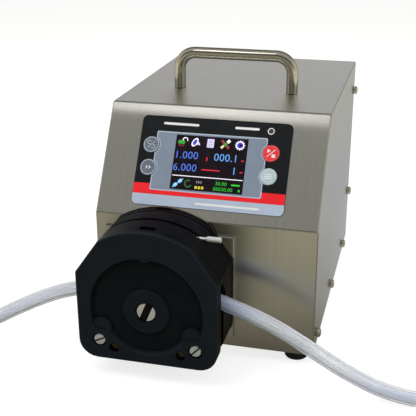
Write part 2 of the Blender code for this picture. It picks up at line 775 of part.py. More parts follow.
def adapter_plate():
    """A steel plate, a little proud of the head's edge, between the head and the mounting plate."""
    outline = inset(head_outline(BODY_BOTTOM_Z, 10), -0.7)
    obj = make("adapter_plate", prism(outline, "Y", ADAPTER_FACE_Y, PLATE_FACE_Y - GAP), brushed_steel())
    cut(obj, disc(head_point(0, 0), 11.0, "Y", ADAPTER_FACE_Y - 5, PLATE_FACE_Y + 5, 32))


def mounting_plate():
    outline = rectangle(-100, 30.5, 22, 131, 1.0, 2)
    obj = make("mounting_plate", edged(outline, "Y", PLATE_FACE_Y, -GAP, 0.5, 0), brushed_steel())
    cut(obj, disc((AXIS_X, AXIS_Z), 12.0, "Y", -10, 5, 32))


def slot_outline(centre, along, length, width):
    """A screwdriver slot across a head: a rectangle about its centre, along a direction."""
    across = Vector((-along.y, along.x))
    middle = Vector(centre)
    corners = ((-length, -width), (length, -width), (length, width), (-length, width))
    return [tuple(middle + along * a / 2 + across * b / 2) for a, b in corners]


def head_screws():
    """Slotted cheese-head screws that hold cover, body and flange together."""
    front = COVER_FRONT_Y
    x, z = HEAD_SCREW_PLACE
    for name, side, tilt in (("head_screw_left", -1, 27), ("head_screw_right", 1, 45)):
        centre = head_point(side * x, z)
        profile = [
            (0, front + 0.9), (5.2, front + 0.9), (6.0, front + 1.5), (6.0, front + 5.2),
            (2.6, front + 5.2), (2.6, ADAPTER_FACE_Y - 1.0), (0, ADAPTER_FACE_Y - 1.0),
        ]
        obj = make(name, turned(profile, centre, "Y", 20), bright_steel())
        along = Vector((math.cos(math.radians(tilt)), math.sin(math.radians(tilt))))
        cut(obj, prism(slot_outline(centre, along, 16, 1.5), "Y", front - 2, front + 2.7))


def occlusion_block():
    """The pressure block: a curved jaw over the rollers, a web, and the arched cap with the crank slot."""
    half = BLOCK_HALF_WIDTH
    leg_x = math.sqrt(TRACK_RADIUS**2 - BLOCK_LEG_Z**2)
    start = math.degrees(math.atan2(BLOCK_LEG_Z, leg_x))
    jaw = [(-half, JAW_TOP_Z), (-half, BLOCK_LEG_Z)]
    jaw += arc((0, 0), TRACK_RADIUS, 180 - start, start, 20)
    jaw += [(half, BLOCK_LEG_Z), (half, JAW_TOP_Z)]
    obj = make("occlusion_block", prism(around_axis(jaw), "Y", -57.7, -27.0),
               finish("block_plastic", (0.02, 0.023, 0.027), 0.5), (AXIS_X, LEVER_Y, AXIS_Z))

    limit = math.degrees(math.acos(half / HEAD_TOP_RADIUS))
    cap = [(-half, CAP_UNDERSIDE_Z), (half, CAP_UNDERSIDE_Z)]
    cap += arc((0, 0), HEAD_TOP_RADIUS, limit, 180 - limit, 14)
    join(obj, edged(around_axis(cap), "Y", CAP_FRONT_Y, CAP_BACK_Y, 0.3, 0.3))
    web = AXIS_Z + JAW_TOP_Z - 2, AXIS_Z + CAP_UNDERSIDE_Z + 3
    join(obj, block(AXIS_X - 30, AXIS_X + 30, -32.4, -27.4, *web))
    reach = LEVER_CRANK + 2.4
    low = LEVER_PIVOT_Z - LEVER_CRANK - 2.9
    cut(obj, block(AXIS_X - reach, AXIS_X + reach, CAP_FRONT_Y - 3, -25.0, AXIS_Z + low, AXIS_Z + low + 5.8))


def lever():
    """Hub and crank pin, a thin rod out to the right shoulder, and a steel grip on its end."""
    pivot = (AXIS_X, LEVER_Y, AXIS_Z + LEVER_PIVOT_Z)
    centre = head_point(0, LEVER_PIVOT_Z)
    low, high = LEVER_Y - 1.5, LEVER_Y + 1.5
    obj = make("lever_arm", disc(centre, 7.0, "Y", low, high, 20), bright_steel(), pivot)
    level = AXIS_Z + LEVER_PIVOT_Z
    rod_end = AXIS_X + LEVER_NECK_END + 5
    join(obj, disc((LEVER_Y, level), LEVER_ROD_RADIUS - 0.1, "X", AXIS_X + 4, rod_end, 14))
    join(obj, disc(head_point(0, LEVER_PIVOT_Z - LEVER_CRANK), 1.5, "Y", LEVER_Y, -25.8, 16))
    cut(obj, disc(centre, 2.4, "Y", low - 3, high - 0.6, 16))

    start = AXIS_X + LEVER_NECK_END
    end = AXIS_X + LEVER_GRIP_END
    radius = LEVER_GRIP_RADIUS
    bore = LEVER_ROD_RADIUS + 0.1
    grip = [
        (0, start + 5.6), (bore, start + 5.6), (bore, start), (radius - 0.4, start),
        (radius, start + 0.5), (radius, end - 0.5), (radius - 0.5, end), (0, end),
    ]
    make("lever_grip", turned(grip, (LEVER_Y, level), "X", 16), bright_steel(), pivot)


def lever_pivot_pin():
    centre = head_point(0, LEVER_PIVOT_Z)
    make("lever_pivot_pin", disc(centre, 2.0, "Y", -59.5, LEVER_Y + 0.5, 16), bright_steel())


# ---------------------------------------------------------------------------------------------
# Rotor and drive train
# ---------------------------------------------------------------------------------------------


def roller_centre(number):
    angle = math.radians(90 + 120 * number)
    return head_point(ROLLER_PITCH * math.cos(angle), ROLLER_PITCH * math.sin(angle))


def rotor_carrier():
    axis = (AXIS_X, LEVER_Y, AXIS_Z)
    centre = head_point(0, 0)
    profile = [
        (0, -61.2), (34.0, -61.2), (34.0, -58.4), (12.0, -58.4),
        (12.0, -30.0), (34.0, -30.0), (34.0, -27.2), (0, -27.2),
    ]
    plastic = finish("carrier_plastic", (0.32, 0.32, 0.31), 0.45)
    obj = make("rotor_carrier", turned(profile, centre, "Y", 32), plastic, axis)
    holes = disc(centre, 7.3, "Y", -66, -22, 24)
    for number in range(3):
        disc(roller_centre(number), PIN_RADIUS + 0.3, "Y", -66, -22, 12, holes)
    cut(obj, holes)


def rollers():
    plastic = finish("roller_nylon", (0.78, 0.76, 0.7), 0.4)
    for number in range(3):
        x, z = roller_centre(number)
        spot = (x, LEVER_Y, z)
        roller = ring(ROLLER_RADIUS, PIN_RADIUS + 0.35, (x, z), "Y", -58.1, -30.3, 24)
        make(f"roller_{number + 1}", roller, plastic, spot)
        pin = disc((x, z), PIN_RADIUS, "Y", -61.0, -27.4, 12)
        make(f"roller_pin_{number + 1}", pin, bright_steel(), spot)


def rotor_shaft():
    """The head's own shaft: a slotted journal shown in the cover's bore, and a tongue for the drive."""
    centre = head_point(0, 0)
    profile = [
        (0, -66.5), (8.8, -66.5), (9.4, -65.9), (9.4, -61.7), (6.9, -61.7), (6.9, -14.0), (0, -14.0),
    ]
    shaft = turned(profile, centre, "Y", 28)
    obj = make("rotor_shaft", shaft, bright_steel(), (AXIS_X, LEVER_Y, AXIS_Z))
    join(obj, block(AXIS_X - 2.5, AXIS_X + 2.5, -14.5, -8.0, AXIS_Z - 5.5, AXIS_Z + 5.5))
    along = Vector((math.sin(SLOT_TILT), math.cos(SLOT_TILT)))
    cut(obj, prism(slot_outline(centre, along, 24, SLOT_WIDTH), "Y", -70, -62.6))


def drive_shaft():
    """From the gearbox out through the front panel, with a fork that takes the head's tongue."""
    centre = head_point(0, 0)
    profile = [(0, -13.0), (6.9, -13.0), (6.9, 8.0), (5.0, 8.0), (5.0, 32.6), (0, 32.6)]
    obj = make("drive_shaft", turned(profile, centre, "Y", 24), bright_steel(), (AXIS_X, LEVER_Y, AXIS_Z))
    cut(obj, block(AXIS_X - 2.8, AXIS_X + 2.8, -20, -7.4, AXIS_Z - 9, AXIS_Z + 9))


def gear_outline(centre, teeth, phase):
    """Trapezium teeth about a pitch circle, a little thin so that the pair runs free."""
    pitch = GEAR_MODULE * teeth / 2
    shape = ((-0.30, pitch - 1.4), (-0.13, pitch + 1.0), (0.13, pitch + 1.0), (0.30, pitch - 1.4))
    step = 2 * math.pi / teeth
    outline = []
    for tooth in range(teeth):
        for offset, radius in shape:
            angle = phase + (tooth + offset) * step
            outline.append((centre[0] + radius * math.cos(angle), centre[1] + radius * math.sin(angle)))
    return outline


def gears():
    axis = (AXIS_X, LEVER_Y, AXIS_Z)
    centre = head_point(0, 0)
    steel = finish("gear_steel", (0.35, 0.35, 0.36), 0.35, 1.0)
    up = math.pi / 2
    outline = gear_outline(centre, GEAR_TEETH, up)
    obj = make("drive_gear", prism(outline, "Y", *GEAR_Y), steel, axis, smooth=False)
    cut(obj, disc(centre, 5.3, "Y", 5, 30, 24))

    upper = head_point(0, GEAR_CENTRES)
    outline = gear_outline(upper, PINION_TEETH, -up + math.pi / PINION_TEETH)
    pinion = prism(outline, "Y", GEAR_Y[0] - 1, GEAR_Y[1] + 1)
    obj = make("motor_pinion", pinion, steel, (upper[0], LEVER_Y, upper[1]), smooth=False)
    join(obj, disc(upper, 3.0, "Y", GEAR_Y[1], 60, 16))


def gearbox_frame():
    """Two plates joined by four pillars, carrying the drive shaft and the motor."""
    outline = rectangle(AXIS_X - 33, AXIS_X + 33, AXIS_Z - 30, AXIS_Z + 64, 4, 3)
    alloy = finish("cast_alloy", (0.5, 0.5, 0.49), 0.5, 1.0)
    obj = make("gearbox_frame", prism(outline, "Y", SHEET + GAP, 6.0), alloy)
    join(obj, prism(outline, "Y", 28.0, 33.0))
    pillars = bmesh.new()
    for x in (-28, 28):
        for z in (-25, 59):
            disc(head_point(x, z), 4.0, "Y", 4.0, 30.0, 12, pillars)
    join(obj, pillars)
    cut(obj, disc(head_point(0, 0), 7.4, "Y", -5, 12, 20))
    cut(obj, disc(head_point(0, 0), 5.4, "Y", 20, 40, 20))
    cut(obj, disc(head_point(0, GEAR_CENTRES), 5.0, "Y", 20, 40, 16))


def drive_motor():
    centre = head_point(0, GEAR_CENTRES)
    profile = [
        (0, 33.3), (26.0, 33.3), (28.0, 35.3), (28.0, 104), (26.5, 105.5),
        (26.5, 113), (9.0, 113), (9.0, 117), (0, 117),
    ]
    painted = finish("motor_case", (0.05, 0.05, 0.055), 0.45, 0.3)
    obj = make("drive_motor", turned(profile, centre, "Y", 28), painted)
    cut(obj, disc(centre, 3.4, "Y", 25, 61, 16))


# ---------------------------------------------------------------------------------------------
# Tubing
# ---------------------------------------------------------------------------------------------


def tube_in_head():
    """The stretch in the head: pressed flat along the track, and round again at each side."""
    middle = TRACK_RADIUS - GAP - TUBE_FLAT_HALF
    run = [(a, 1.0) for a in arc((0, 0), middle, 33, 90, 8)]
    end = Vector(TUBE_JOIN)
    lead = Vector((1, TUBE_EXIT_SLOPE))
    swell = [((38.2, 20.2), 0.75), ((42.8, 16.9), 0.3), ((48.0, 13.6), 0.05)]
    swell += [(tuple(end - 6 * lead), 0.0), (tuple(end), 0.0)]
    right = list(reversed(swell)) + run
    left = [((-x, z), flat) for (x, z), flat in reversed(right[:-1])]
    path = right + left
    sides = 12
    mesh = bmesh.new()
    rings = []
    for i, ((x, z), flat) in enumerate(path):
        before = Vector(path[max(i - 1, 0)][0])
        after = Vector(path[min(i + 1, len(path) - 1)][0])
        along = (after - before).normalized()
        out = Vector((-along.y, along.x))
        thick = TUBE_RADIUS - 0.1 + (TUBE_FLAT_HALF - TUBE_RADIUS + 0.1) * flat
        wide = TUBE_RADIUS - 0.1 + (TUBE_FLAT_WIDTH_HALF - TUBE_RADIUS + 0.1) * flat
        ring_points = []
        for a, b in circle((0, 0), 1.0, sides):
            offset = out * a * thick
            point = (AXIS_X + x + offset.x, TUBE_Y + b * wide, AXIS_Z + z + offset.y)
            ring_points.append(mesh.verts.new(point))
        rings.append(ring_points)
    for low, high in zip(rings, rings[1:]):
        for i in range(sides):
            j = (i + 1) % sides
            mesh.faces.new((low[i], low[j], high[j], high[i]))
    mesh.faces.new(rings[0])
    mesh.faces.new(rings[-1])
    make("tube_in_head", mesh, tubing())


def free_tubes():
    """The two free stretches, down to the table on each side."""
    for name, knots in (("tube_right", TUBE_RIGHT_ROUTE), ("tube_left", TUBE_LEFT_ROUTE)):
        route = smooth_route([(x, TUBE_Y, z) for x, z in knots], 2)
        make(name, bar_along(route, TUBE_RADIUS, 10), tubing())


# ---------------------------------------------------------------------------------------------
# Electrics and back panel
# ---------------------------------------------------------------------------------------------

def power_inlet():
    """Flanged mains inlet with three contact blades in its well."""
    inlet = finish("black_moulding", (0.015, 0.015, 0.016), 0.4)
    x0, x1 = INLET_HOLE[0] + GAP, INLET_HOLE[1] - GAP
    z0, z1 = INLET_HOLE_Z[0] + GAP, INLET_HOLE_Z[1] - GAP
    obj = make("power_inlet", block(x0, x1, 284, BACK_FACE + 1, z0, z1), inlet)
    middle = (z0 + z1) / 2
    plate = rectangle(x0 - 11, x1 + 11, middle - 11.3, middle + 11.3, 4, 3)
    join(obj, edged(plate, "Y", BACK_FACE + GAP, BACK_FACE + 2.8, 0, 0.5))
    well = [
        (x0 + 2, z0 + 1.8, 0.5), (x1 - 2, z0 + 1.8, 0.5), (x1 - 2, z1 - 5, 0.5),
        (x1 - 6, z1 - 1.8, 0.5), (x0 + 6, z1 - 1.8, 0.5), (x0 + 2, z1 - 5, 0.5),
    ]
    cut(obj, prism(rounded(well, 2), "Y", 290, BACK_FACE + 9))
    blades = bmesh.new()
    centre = (x0 + x1) / 2
    for x, z in ((centre - 7, middle - 2), (centre, middle + 2), (centre + 7, middle - 2)):
        block(x - 1, x + 1, 289, 303, z - 2, z + 2, blades)
    join(obj, blades)


def power_switch():
    """Rocker switch: a framed housing with a round well, and the rocker that tilts in it."""
    moulding = finish("black_moulding", (0.015, 0.015, 0.016), 0.4)
    x0, x1 = SWITCH_HOLE[0] + GAP, SWITCH_HOLE[1] - GAP
    z0, z1 = SWITCH_HOLE_Z[0] + GAP, SWITCH_HOLE_Z[1] - GAP
    obj = make("power_switch_housing", block(x0, x1, 290, BACK_FACE + 1, z0, z1), moulding)
    frame = rectangle(x0 - 2, x1 + 2, z0 - 2, z1 + 2, 1, 2)
    join(obj, edged(frame, "Y", BACK_FACE + GAP, BACK_FACE + 2.2, 0, 0.5))
    pivot = (303.0, (z0 + z1) / 2)
    middle = (x0 + x1) / 2
    width = 7.0
    cut(obj, disc(pivot, 9.4, "X", middle - width - 0.5, middle + width + 0.5, 28))
    body = arc((0, 0), 8.8, 52, 288, 20) + [(3.4, 0.0)]
    points = [(pivot[0] + out, pivot[1] + up) for out, up in body]
    make("power_rocker", prism(points, "X", middle - width, middle + width),
         finish("rocker_red", (0.5, 0.02, 0.02), 0.35), (middle, *pivot))


def control_socket():
    """D-shaped multi-pin socket for remote control."""
    x0, x1 = SOCKET_HOLE[0] + GAP, SOCKET_HOLE[1] - GAP
    z0, z1 = SOCKET_HOLE_Z[0] + GAP, SOCKET_HOLE_Z[1] - GAP
    plated = finish("plated_shell", (0.6, 0.58, 0.5), 0.3, 1.0)
    obj = make("control_socket", block(x0, x1, 296, BACK_FACE + 1, z0, z1), plated)
    flange = rectangle(x0 - 6, x1 + 6, z0 - 0.8, z1 + 0.8, 1, 2)
    join(obj, edged(flange, "Y", BACK_FACE + GAP, BACK_FACE + 1.6, 0, 0.3))
    corners = [
        (x0 + 3.4, z0 + 1, 1.5), (x1 - 3.4, z0 + 1, 1.5), (x1 - 1.4, z1 - 1, 1.5), (x0 + 1.4, z1 - 1, 1.5),
    ]
    shell = rounded(corners, 3)
    join(obj, prism(shell, "Y", BACK_FACE, BACK_FACE + 4.6))
    cut(obj, prism(inset(shell, 0.8), "Y", 301, BACK_FACE + 9))


def power_supply():
    metal = finish("supply_metal", (0.6, 0.6, 0.6), 0.4, 1.0)
    floor = CASE_UNDERSIDE + SHEET + GAP
    obj = make("power_supply", edged(rectangle(14, 100, 110, 270, 1, 2), "Z", floor, 56, 0, 1), metal)
    slots = bmesh.new()
    for row in range(8):
        y = 132 + 14 * row
        block(26, 88, y, y + 4, 50, 60, slots)
    cut(obj, slots)


def control_board():
    """Motor control board on four pillars, with its heat sink, capacitors and connectors."""
    floor = CASE_UNDERSIDE + SHEET + GAP
    laminate = finish("circuit_board", (0.02, 0.16, 0.07), 0.5)
    obj = make("control_board", block(-100, -8, 134, 268, floor + 8, floor + 9.6), laminate)
    parts = bmesh.new()
    for x in (-95, -13):
        for y in (139, 263):
            disc((x, y), 3.0, "Z", floor, floor + 9, 8, parts)
    for y in (160, 180):
        disc((-28, y), 7.0, "Z", floor + 9, floor + 33, 14, parts)
    block(-88, -78, 150, 210, floor + 9, floor + 37, parts)
    for y in (226, 244):
        block(-80, -50, y, y + 8, floor + 9, floor + 19, parts)
    join(obj, parts)


# ---------------------------------------------------------------------------------------------


def build():
    casing_shell()
    base_chassis()
    carry_handle()
    handle_bolts()
    rubber_feet()
    cover_screws()
    keypad_overlay()
    display_screen()
    panel_board()
    keys()
    status_lamp()
    mounting_plate()
    adapter_plate()
    head_rear_flange()
    head_middle_body()
    head_front_cover()
    head_screws()
    occlusion_block()
    lever()
    lever_pivot_pin()
    rotor_carrier()
    rollers()
    rotor_shaft()
    drive_shaft()
    gears()
    gearbox_frame()
    drive_motor()
    tube_in_head()
    free_tubes()
    power_inlet()
    power_switch()
    control_socket()
    power_supply()
    control_board()


build()
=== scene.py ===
"""Looks of the bench peristaltic pump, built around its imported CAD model.

Lengths are metres in the row frame: X to the right, Y from the pump head to the back, Z up.
"""

import json
import math

import bmesh
import bpy
from mathutils import Matrix, Vector


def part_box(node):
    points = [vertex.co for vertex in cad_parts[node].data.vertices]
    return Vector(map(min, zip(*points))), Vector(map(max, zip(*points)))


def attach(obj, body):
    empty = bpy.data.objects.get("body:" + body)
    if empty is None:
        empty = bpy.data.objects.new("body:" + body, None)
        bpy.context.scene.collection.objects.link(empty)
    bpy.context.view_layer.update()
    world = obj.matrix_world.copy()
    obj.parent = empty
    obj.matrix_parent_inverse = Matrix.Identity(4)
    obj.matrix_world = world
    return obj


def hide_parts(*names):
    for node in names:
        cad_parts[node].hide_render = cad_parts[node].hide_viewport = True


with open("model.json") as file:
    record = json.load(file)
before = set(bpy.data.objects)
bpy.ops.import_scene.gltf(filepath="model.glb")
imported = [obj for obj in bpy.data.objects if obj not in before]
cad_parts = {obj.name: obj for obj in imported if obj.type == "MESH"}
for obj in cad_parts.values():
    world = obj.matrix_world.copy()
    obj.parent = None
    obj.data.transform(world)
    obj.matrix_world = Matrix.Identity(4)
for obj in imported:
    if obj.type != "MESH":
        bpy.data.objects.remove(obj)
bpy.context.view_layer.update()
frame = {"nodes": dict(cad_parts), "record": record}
MM = 0.001

# ---------------------------------------------------------------------------------------------
# Places, read from the CAD
# ---------------------------------------------------------------------------------------------

BEND_HEIGHT = 143.2 * MM
SLOPE_SETBACK = 62.0 * MM
CASE_LOW, CASE_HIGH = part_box("casing_shell")
SLOPE_UP = Vector((0, SLOPE_SETBACK, CASE_HIGH.z - BEND_HEIGHT)).normalized()
SLOPE_OUT = Vector((0, -SLOPE_UP.z, SLOPE_UP.y))
BEND = Vector((0, CASE_LOW.y, BEND_HEIGHT))
PANEL = Matrix((
    (1, 0, 0, 0),
    (0, SLOPE_UP.y, SLOPE_OUT.y, BEND.y),
    (0, SLOPE_UP.z, SLOPE_OUT.z, BEND.z),
    (0, 0, 0, 1),
))


def middle(node):
    low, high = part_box(node)
    return (low + high) / 2


def panel_box(node):
    """A node's lowest and highest corner across the panel, up its slope and out from its face."""
    to_panel = PANEL.inverted()
    points = [to_panel @ vertex.co for vertex in frame["nodes"][node].data.vertices]
    low = Vector(min(point[axis] for point in points) for axis in range(3))
    high = Vector(max(point[axis] for point in points) for axis in range(3))
    return low, high


# ---------------------------------------------------------------------------------------------
# Material helpers
# ---------------------------------------------------------------------------------------------


def feed(tree, socket, value):
    """Links another socket, or sets a constant on the socket itself."""
    if isinstance(value, bpy.types.NodeSocket):
        tree.links.new(value, socket)
    else:
        socket.default_value = value


def operate(tree, operation, *values):
    """The result of a math node."""
    made = tree.nodes.new("ShaderNodeMath")
    made.operation = operation
    for socket, value in zip(made.inputs, values):
        feed(tree, socket, value)
    return made.outputs[0]


class Finish:
    """A Principled material with short ways to add procedural detail."""

    def __init__(self, name, colour, roughness, metallic=0.0, sockets=()):
        self.material = bpy.data.materials.new(name)
        self.material.use_nodes = True
        self.tree = self.material.node_tree
        self.nodes = self.tree.nodes
        self.links = self.tree.links
        self.shader = self.nodes["Principled BSDF"]
        self.shader.inputs["Base Color"].default_value = (*colour, 1)
        self.shader.inputs["Roughness"].default_value = roughness
        self.shader.inputs["Metallic"].default_value = metallic
        self.bumped = None
        for socket, value in dict(sockets).items():
            self.shader.inputs[socket].default_value = value

    def node(self, kind, **inputs):
        made = self.nodes.new(kind)
        for name, value in inputs.items():
            feed(self.tree, made.inputs[name.replace("_", " ")], value)
        return made

    def place(self, scale=(1, 1, 1)):
        """Object coordinates, in metres times a scale for each axis."""
        source = self.node("ShaderNodeTexCoord")
        return self.node("ShaderNodeMapping", Vector=source.outputs["Object"], Scale=scale).outputs[0]

    def noise(self, scale=(1, 1, 1), size=1.0, detail=3.0, where=None):
        where = where or self.place(scale)
        return self.node("ShaderNodeTexNoise", Vector=where, Scale=size, Detail=detail).outputs[0]

    def math(self, operation, *values):
        return operate(self.tree, operation, *values)

    def blend(self, factor, first, second):
        """Mixes two vectors."""
        made = self.nodes.new("ShaderNodeMix")
        made.data_type = "VECTOR"
        self.links.new(factor, made.inputs["Factor"])
        vectors = [socket for socket in made.inputs if socket.type == "VECTOR" and socket.name in "AB"]
        for socket, value in zip(vectors, (first, second)):
            feed(self.tree, socket, value)
        return next(socket for socket in made.outputs if socket.type == "VECTOR")

    def remap(self, value, low, high, new_low, new_high):
        """Maps a value from one range to another, and holds it there."""
        limits = {"From_Min": low, "From_Max": high, "To_Min": new_low, "To_Max": new_high}
        return self.node("ShaderNodeMapRange", Value=value, **limits).outputs[0]

    def spread(self, value, low, high):
        """Maps a noise value, which is mostly from 0.3 to 0.7, to a range."""
        return self.remap(value, 0.3, 0.7, low, high)

    def tint(self, value, dark, light):
        """Mixes two colours by a noise value, into the base colour."""
        mix = self.nodes.new("ShaderNodeMix")
        mix.data_type = "RGBA"
        self.links.new(value, mix.inputs["Factor"])
        colours = [socket for socket in mix.inputs if socket.type == "RGBA"]
        for socket, colour in zip(colours, (dark, light)):
            socket.default_value = (*colour, 1)
        mixed = next(socket for socket in mix.outputs if socket.type == "RGBA")
        self.links.new(mixed, self.shader.inputs["Base Color"])

    def roughen(self, value, low, high):
        self.links.new(self.spread(value, low, high), self.shader.inputs["Roughness"])

    def bump(self, value, height, strength=1.0):
        """Adds a bump of a height in metres, on top of any earlier one."""
        made = self.node("ShaderNodeBump", Height=value, Distance=height, Strength=strength)
        if self.bumped:
            self.links.new(self.bumped, made.inputs["Normal"])
        self.bumped = made.outputs[0]
        self.links.new(self.bumped, self.shader.inputs["Normal"])


def shaded(colour, factor):
    return tuple(channel * factor for channel in colour)


# ---------------------------------------------------------------------------------------------
# Materials
# ---------------------------------------------------------------------------------------------

# Just under its top fold the slope is still slightly curved: how far down, how deep and how fast it fades.
FOLD_REACH = 17.0 * MM
FOLD_DROP = 0.95 * MM
FOLD_POWER = 2.4


def brushed_steel():
    """Sheet steel, ground along the profile on the front, slope and top, and upright on the sides."""
    base = (0.60, 0.59, 0.555)
    steel = Finish("brushed_steel", base, 0.27, 1.0, {"Anisotropic": 0.92})
    facing = steel.node("ShaderNodeSeparateXYZ", Vector=steel.node("ShaderNodeNewGeometry").outputs["Normal"])
    on_side = steel.math("GREATER_THAN", steel.math("ABSOLUTE", facing.outputs["X"]), 0.7)
    along_grain = steel.blend(on_side, steel.place((900, 14, 14)), steel.place((9, 900, 14)))
    grain = steel.noise(where=along_grain, detail=4.0)
    steel.tint(steel.spread(grain, 0.0, 1.0), shaded(base, 0.96), shaded(base, 1.04))
    tangent = steel.blend(on_side, (1, 0, 0), (0, 1, 0))
    steel.links.new(tangent, steel.shader.inputs["Tangent"])
    place = steel.node("ShaderNodeSeparateXYZ", Vector=steel.place())
    below = steel.math("SUBTRACT", CASE_HIGH.z - 0.5 * MM, place.outputs["Z"])
    curved = steel.math("POWER", steel.remap(below, 0.0, FOLD_REACH, 1.0, 0.0), FOLD_POWER)
    steel.bump(steel.math("MULTIPLY", curved, -FOLD_DROP), 1.0)
    return steel.material


def polished_steel():
    base = (0.70, 0.67, 0.57)
    steel = Finish("polished_steel", base, 0.12, 1.0, {"Specular Tint": (0.30, 0.29, 0.25, 1)})
    draw_lines = steel.noise((60, 900, 900), detail=3.0)
    smudge = steel.noise(size=60.0, detail=3.0)
    steel.roughen(smudge, 0.1, 0.17)
    steel.tint(steel.spread(draw_lines, 0, 1), shaded(base, 0.93), base)
    steel.bump(draw_lines, 0.002 * MM, 0.3)
    return steel.material


def turned_steel():
    """Machined screw heads and pins, with a fine bumped grain and patchy tone."""
    base = (0.84, 0.87, 0.98)
    steel = Finish("turned_steel", base, 0.34, 1.0, {"Specular Tint": (0.5, 0.48, 0.42, 1)})
    fine = steel.noise(size=2200.0, detail=2.0)
    patches = steel.noise(size=240.0, detail=3.0)
    steel.tint(steel.spread(patches, 0, 1), shaded(base, 0.8), base)
    steel.roughen(patches, 0.26, 0.42)
    steel.bump(fine, 0.01 * MM, 0.35)
    return steel.material


def ground_steel():
    """The lever's rod and grip: steel with a fine, satin, centreless-ground face."""
    base = (0.84, 0.84, 0.85)
    steel = Finish("ground_steel", base, 0.26, 0.5)
    rings = steel.noise((2600, 40, 40), detail=2.0)
    steel.tint(steel.spread(rings, 0, 1), shaded(base, 0.96), base)
    steel.roughen(rings, 0.2, 0.26)
    return steel.material


def head_plastic():
    """Black engineering plastic with painted light and shade: painted paler on the front face and painted
    darker in its recesses.
    """
    dull = {"Specular IOR Level": 0.09, "Specular Tint": (0.5, 0.5, 0.5, 1)}
    plastic = Finish("head_plastic", (0.007, 0.009, 0.013), 0.46, sockets=dull)
    grain = plastic.noise(size=1500.0, detail=3.0)
    bloom = plastic.noise(size=38.0, detail=4.0)
    place = plastic.node("ShaderNodeSeparateXYZ", Vector=plastic.place())
    behind = plastic.math("SUBTRACT", place.outputs["Y"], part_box("head_front_cover")[0].y)
    # Painted light and shade: within a little depth of the front face the plastic is painted paler, and
    # deeper surfaces darker.
    pale = plastic.remap(behind, 0.6 * MM, 4.6 * MM, 0.78, 0.0)
    # Random bloom patches, plus the painted front light.
    patches_and_painted_front_light = plastic.math("MULTIPLY_ADD", plastic.spread(bloom, 0, 1), 0.22, pale)
    # Painted shade: ambient occlusion darkens the colour in recesses and crevices.
    painted_crevice_shade = plastic.node("ShaderNodeAmbientOcclusion", Distance=6.0 * MM)
    painted_crevice_shade.only_local = True
    painted_crevice_shade.samples = 8
    open_to_light = plastic.math("POWER", painted_crevice_shade.outputs["AO"], 2.5)
    shade = plastic.math("MULTIPLY", patches_and_painted_front_light, open_to_light)
    plastic.tint(shade, (0.0010, 0.0014, 0.0021), (0.0150, 0.0200, 0.0280))
    plastic.roughen(bloom, 0.4, 0.52)
    plastic.bump(grain, 0.02 * MM, 0.4)
    return plastic.material


def plain_plastic(name, colour, roughness, grain_size=1400.0):
    plastic = Finish(name, colour, roughness)
    grain = plastic.noise(size=grain_size, detail=2.0)
    broad = plastic.noise(size=70.0, detail=3.0)
    plastic.tint(plastic.spread(broad, 0, 1), shaded(colour, 0.88), shaded(colour, 1.06))
    plastic.roughen(broad, roughness - 0.05, roughness + 0.07)
    plastic.bump(grain, 0.012 * MM, 0.3)
    return plastic.material


def plain_metal(name, colour, roughness):
    metal = Finish(name, colour, roughness, 1.0)
    grain = metal.noise(size=900.0)
    broad = metal.noise(size=60.0, detail=3.0)
    metal.tint(metal.spread(broad, 0, 1), shaded(colour, 0.84), shaded(colour, 1.05))
    metal.roughen(broad, roughness - 0.08, roughness + 0.1)
    metal.bump(grain, 0.01 * MM, 0.4)
    return metal.material


def rubber():
    made = Finish("rubber", (0.014, 0.014, 0.015), 0.7)
    grain = made.noise(size=900.0, detail=4.0)
    dust = made.noise(size=110.0, detail=4.0)
    made.tint(made.spread(dust, 0, 1), (0.010, 0.010, 0.011), (0.026, 0.026, 0.027))
    made.roughen(dust, 0.62, 0.82)
    made.bump(grain, 0.04 * MM, 0.5)
    return made.material


def silicone():
    """Translucent tubing: milky, with flow lines along it. Its UV runs round (U) and along (V)."""
    clear = {"Transmission Weight": 0.62, "IOR": 1.22, "Coat Weight": 0.3, "Coat Roughness": 0.12}
    made = Finish("silicone", (0.84, 0.87, 0.95), 0.22, sockets=clear)
    round_tube = made.node("ShaderNodeTexCoord").outputs["UV"]
    where = made.node("ShaderNodeMapping", Vector=round_tube, Scale=(26, 0.7, 1)).outputs[0]
    lines = made.noise(where=where, detail=2.0)
    # Painted shade: where it leaves the head the right tube is painted darker and bluer, for the steel behind
    # it.
    across = made.node("ShaderNodeSeparateXYZ", Vector=made.place()).outputs["X"]
    past_painted_exit_shade = made.remap(across, 28 * MM, 70 * MM, 0.2, 1.0)
    left_tube = made.math("LESS_THAN", across, 0.0)
    # Flow lines, times the painted exit shade.
    milky = made.math("MULTIPLY", made.spread(lines, 0.4, 1), made.math("MAXIMUM", past_painted_exit_shade, left_tube))
    made.tint(milky, (0.50, 0.58, 0.76), (1.0, 1.0, 1.0))
    made.roughen(lines, 0.16, 0.3)
    made.bump(lines, 0.05 * MM, 0.3)
    return made.material


def printed(name, colour, roughness=0.42):
    """Ink under a fine-textured polyester film."""
    made = Finish(name, colour, roughness, sockets={"Specular IOR Level": 0.22})
    grain = made.noise(size=2600.0, detail=2.0)
    broad = made.noise(size=45.0, detail=3.0)
    made.tint(made.spread(broad, 0, 1), shaded(colour, 0.94), shaded(colour, 1.04))
    made.roughen(grain, roughness - 0.06, roughness + 0.06)
    made.bump(grain, 0.006 * MM, 0.35)
    return made.material


def lit(name, colour):
    """A lit part of the display, dimmed by its own fine dots."""
    made = Finish(name, shaded(colour, 0.35), 0.25)
    made.shader.inputs["Emission Color"].default_value = (*colour, 1)
    made.shader.inputs["Emission Strength"].default_value = 1.0
    dots = made.noise(size=3800.0, detail=1.0)
    made.roughen(dots, 0.2, 0.32)
    return made.material


def display_glass():
    made = Finish("display_glass", (0.006, 0.006, 0.014), 0.12, sockets={"Specular IOR Level": 0.25})
    smudge = made.noise(size=80.0, detail=4.0)
    made.tint(made.spread(smudge, 0, 1), (0.006, 0.003, 0.007), (0.010, 0.004, 0.010))
    made.roughen(smudge, 0.1, 0.24)
    return made.material


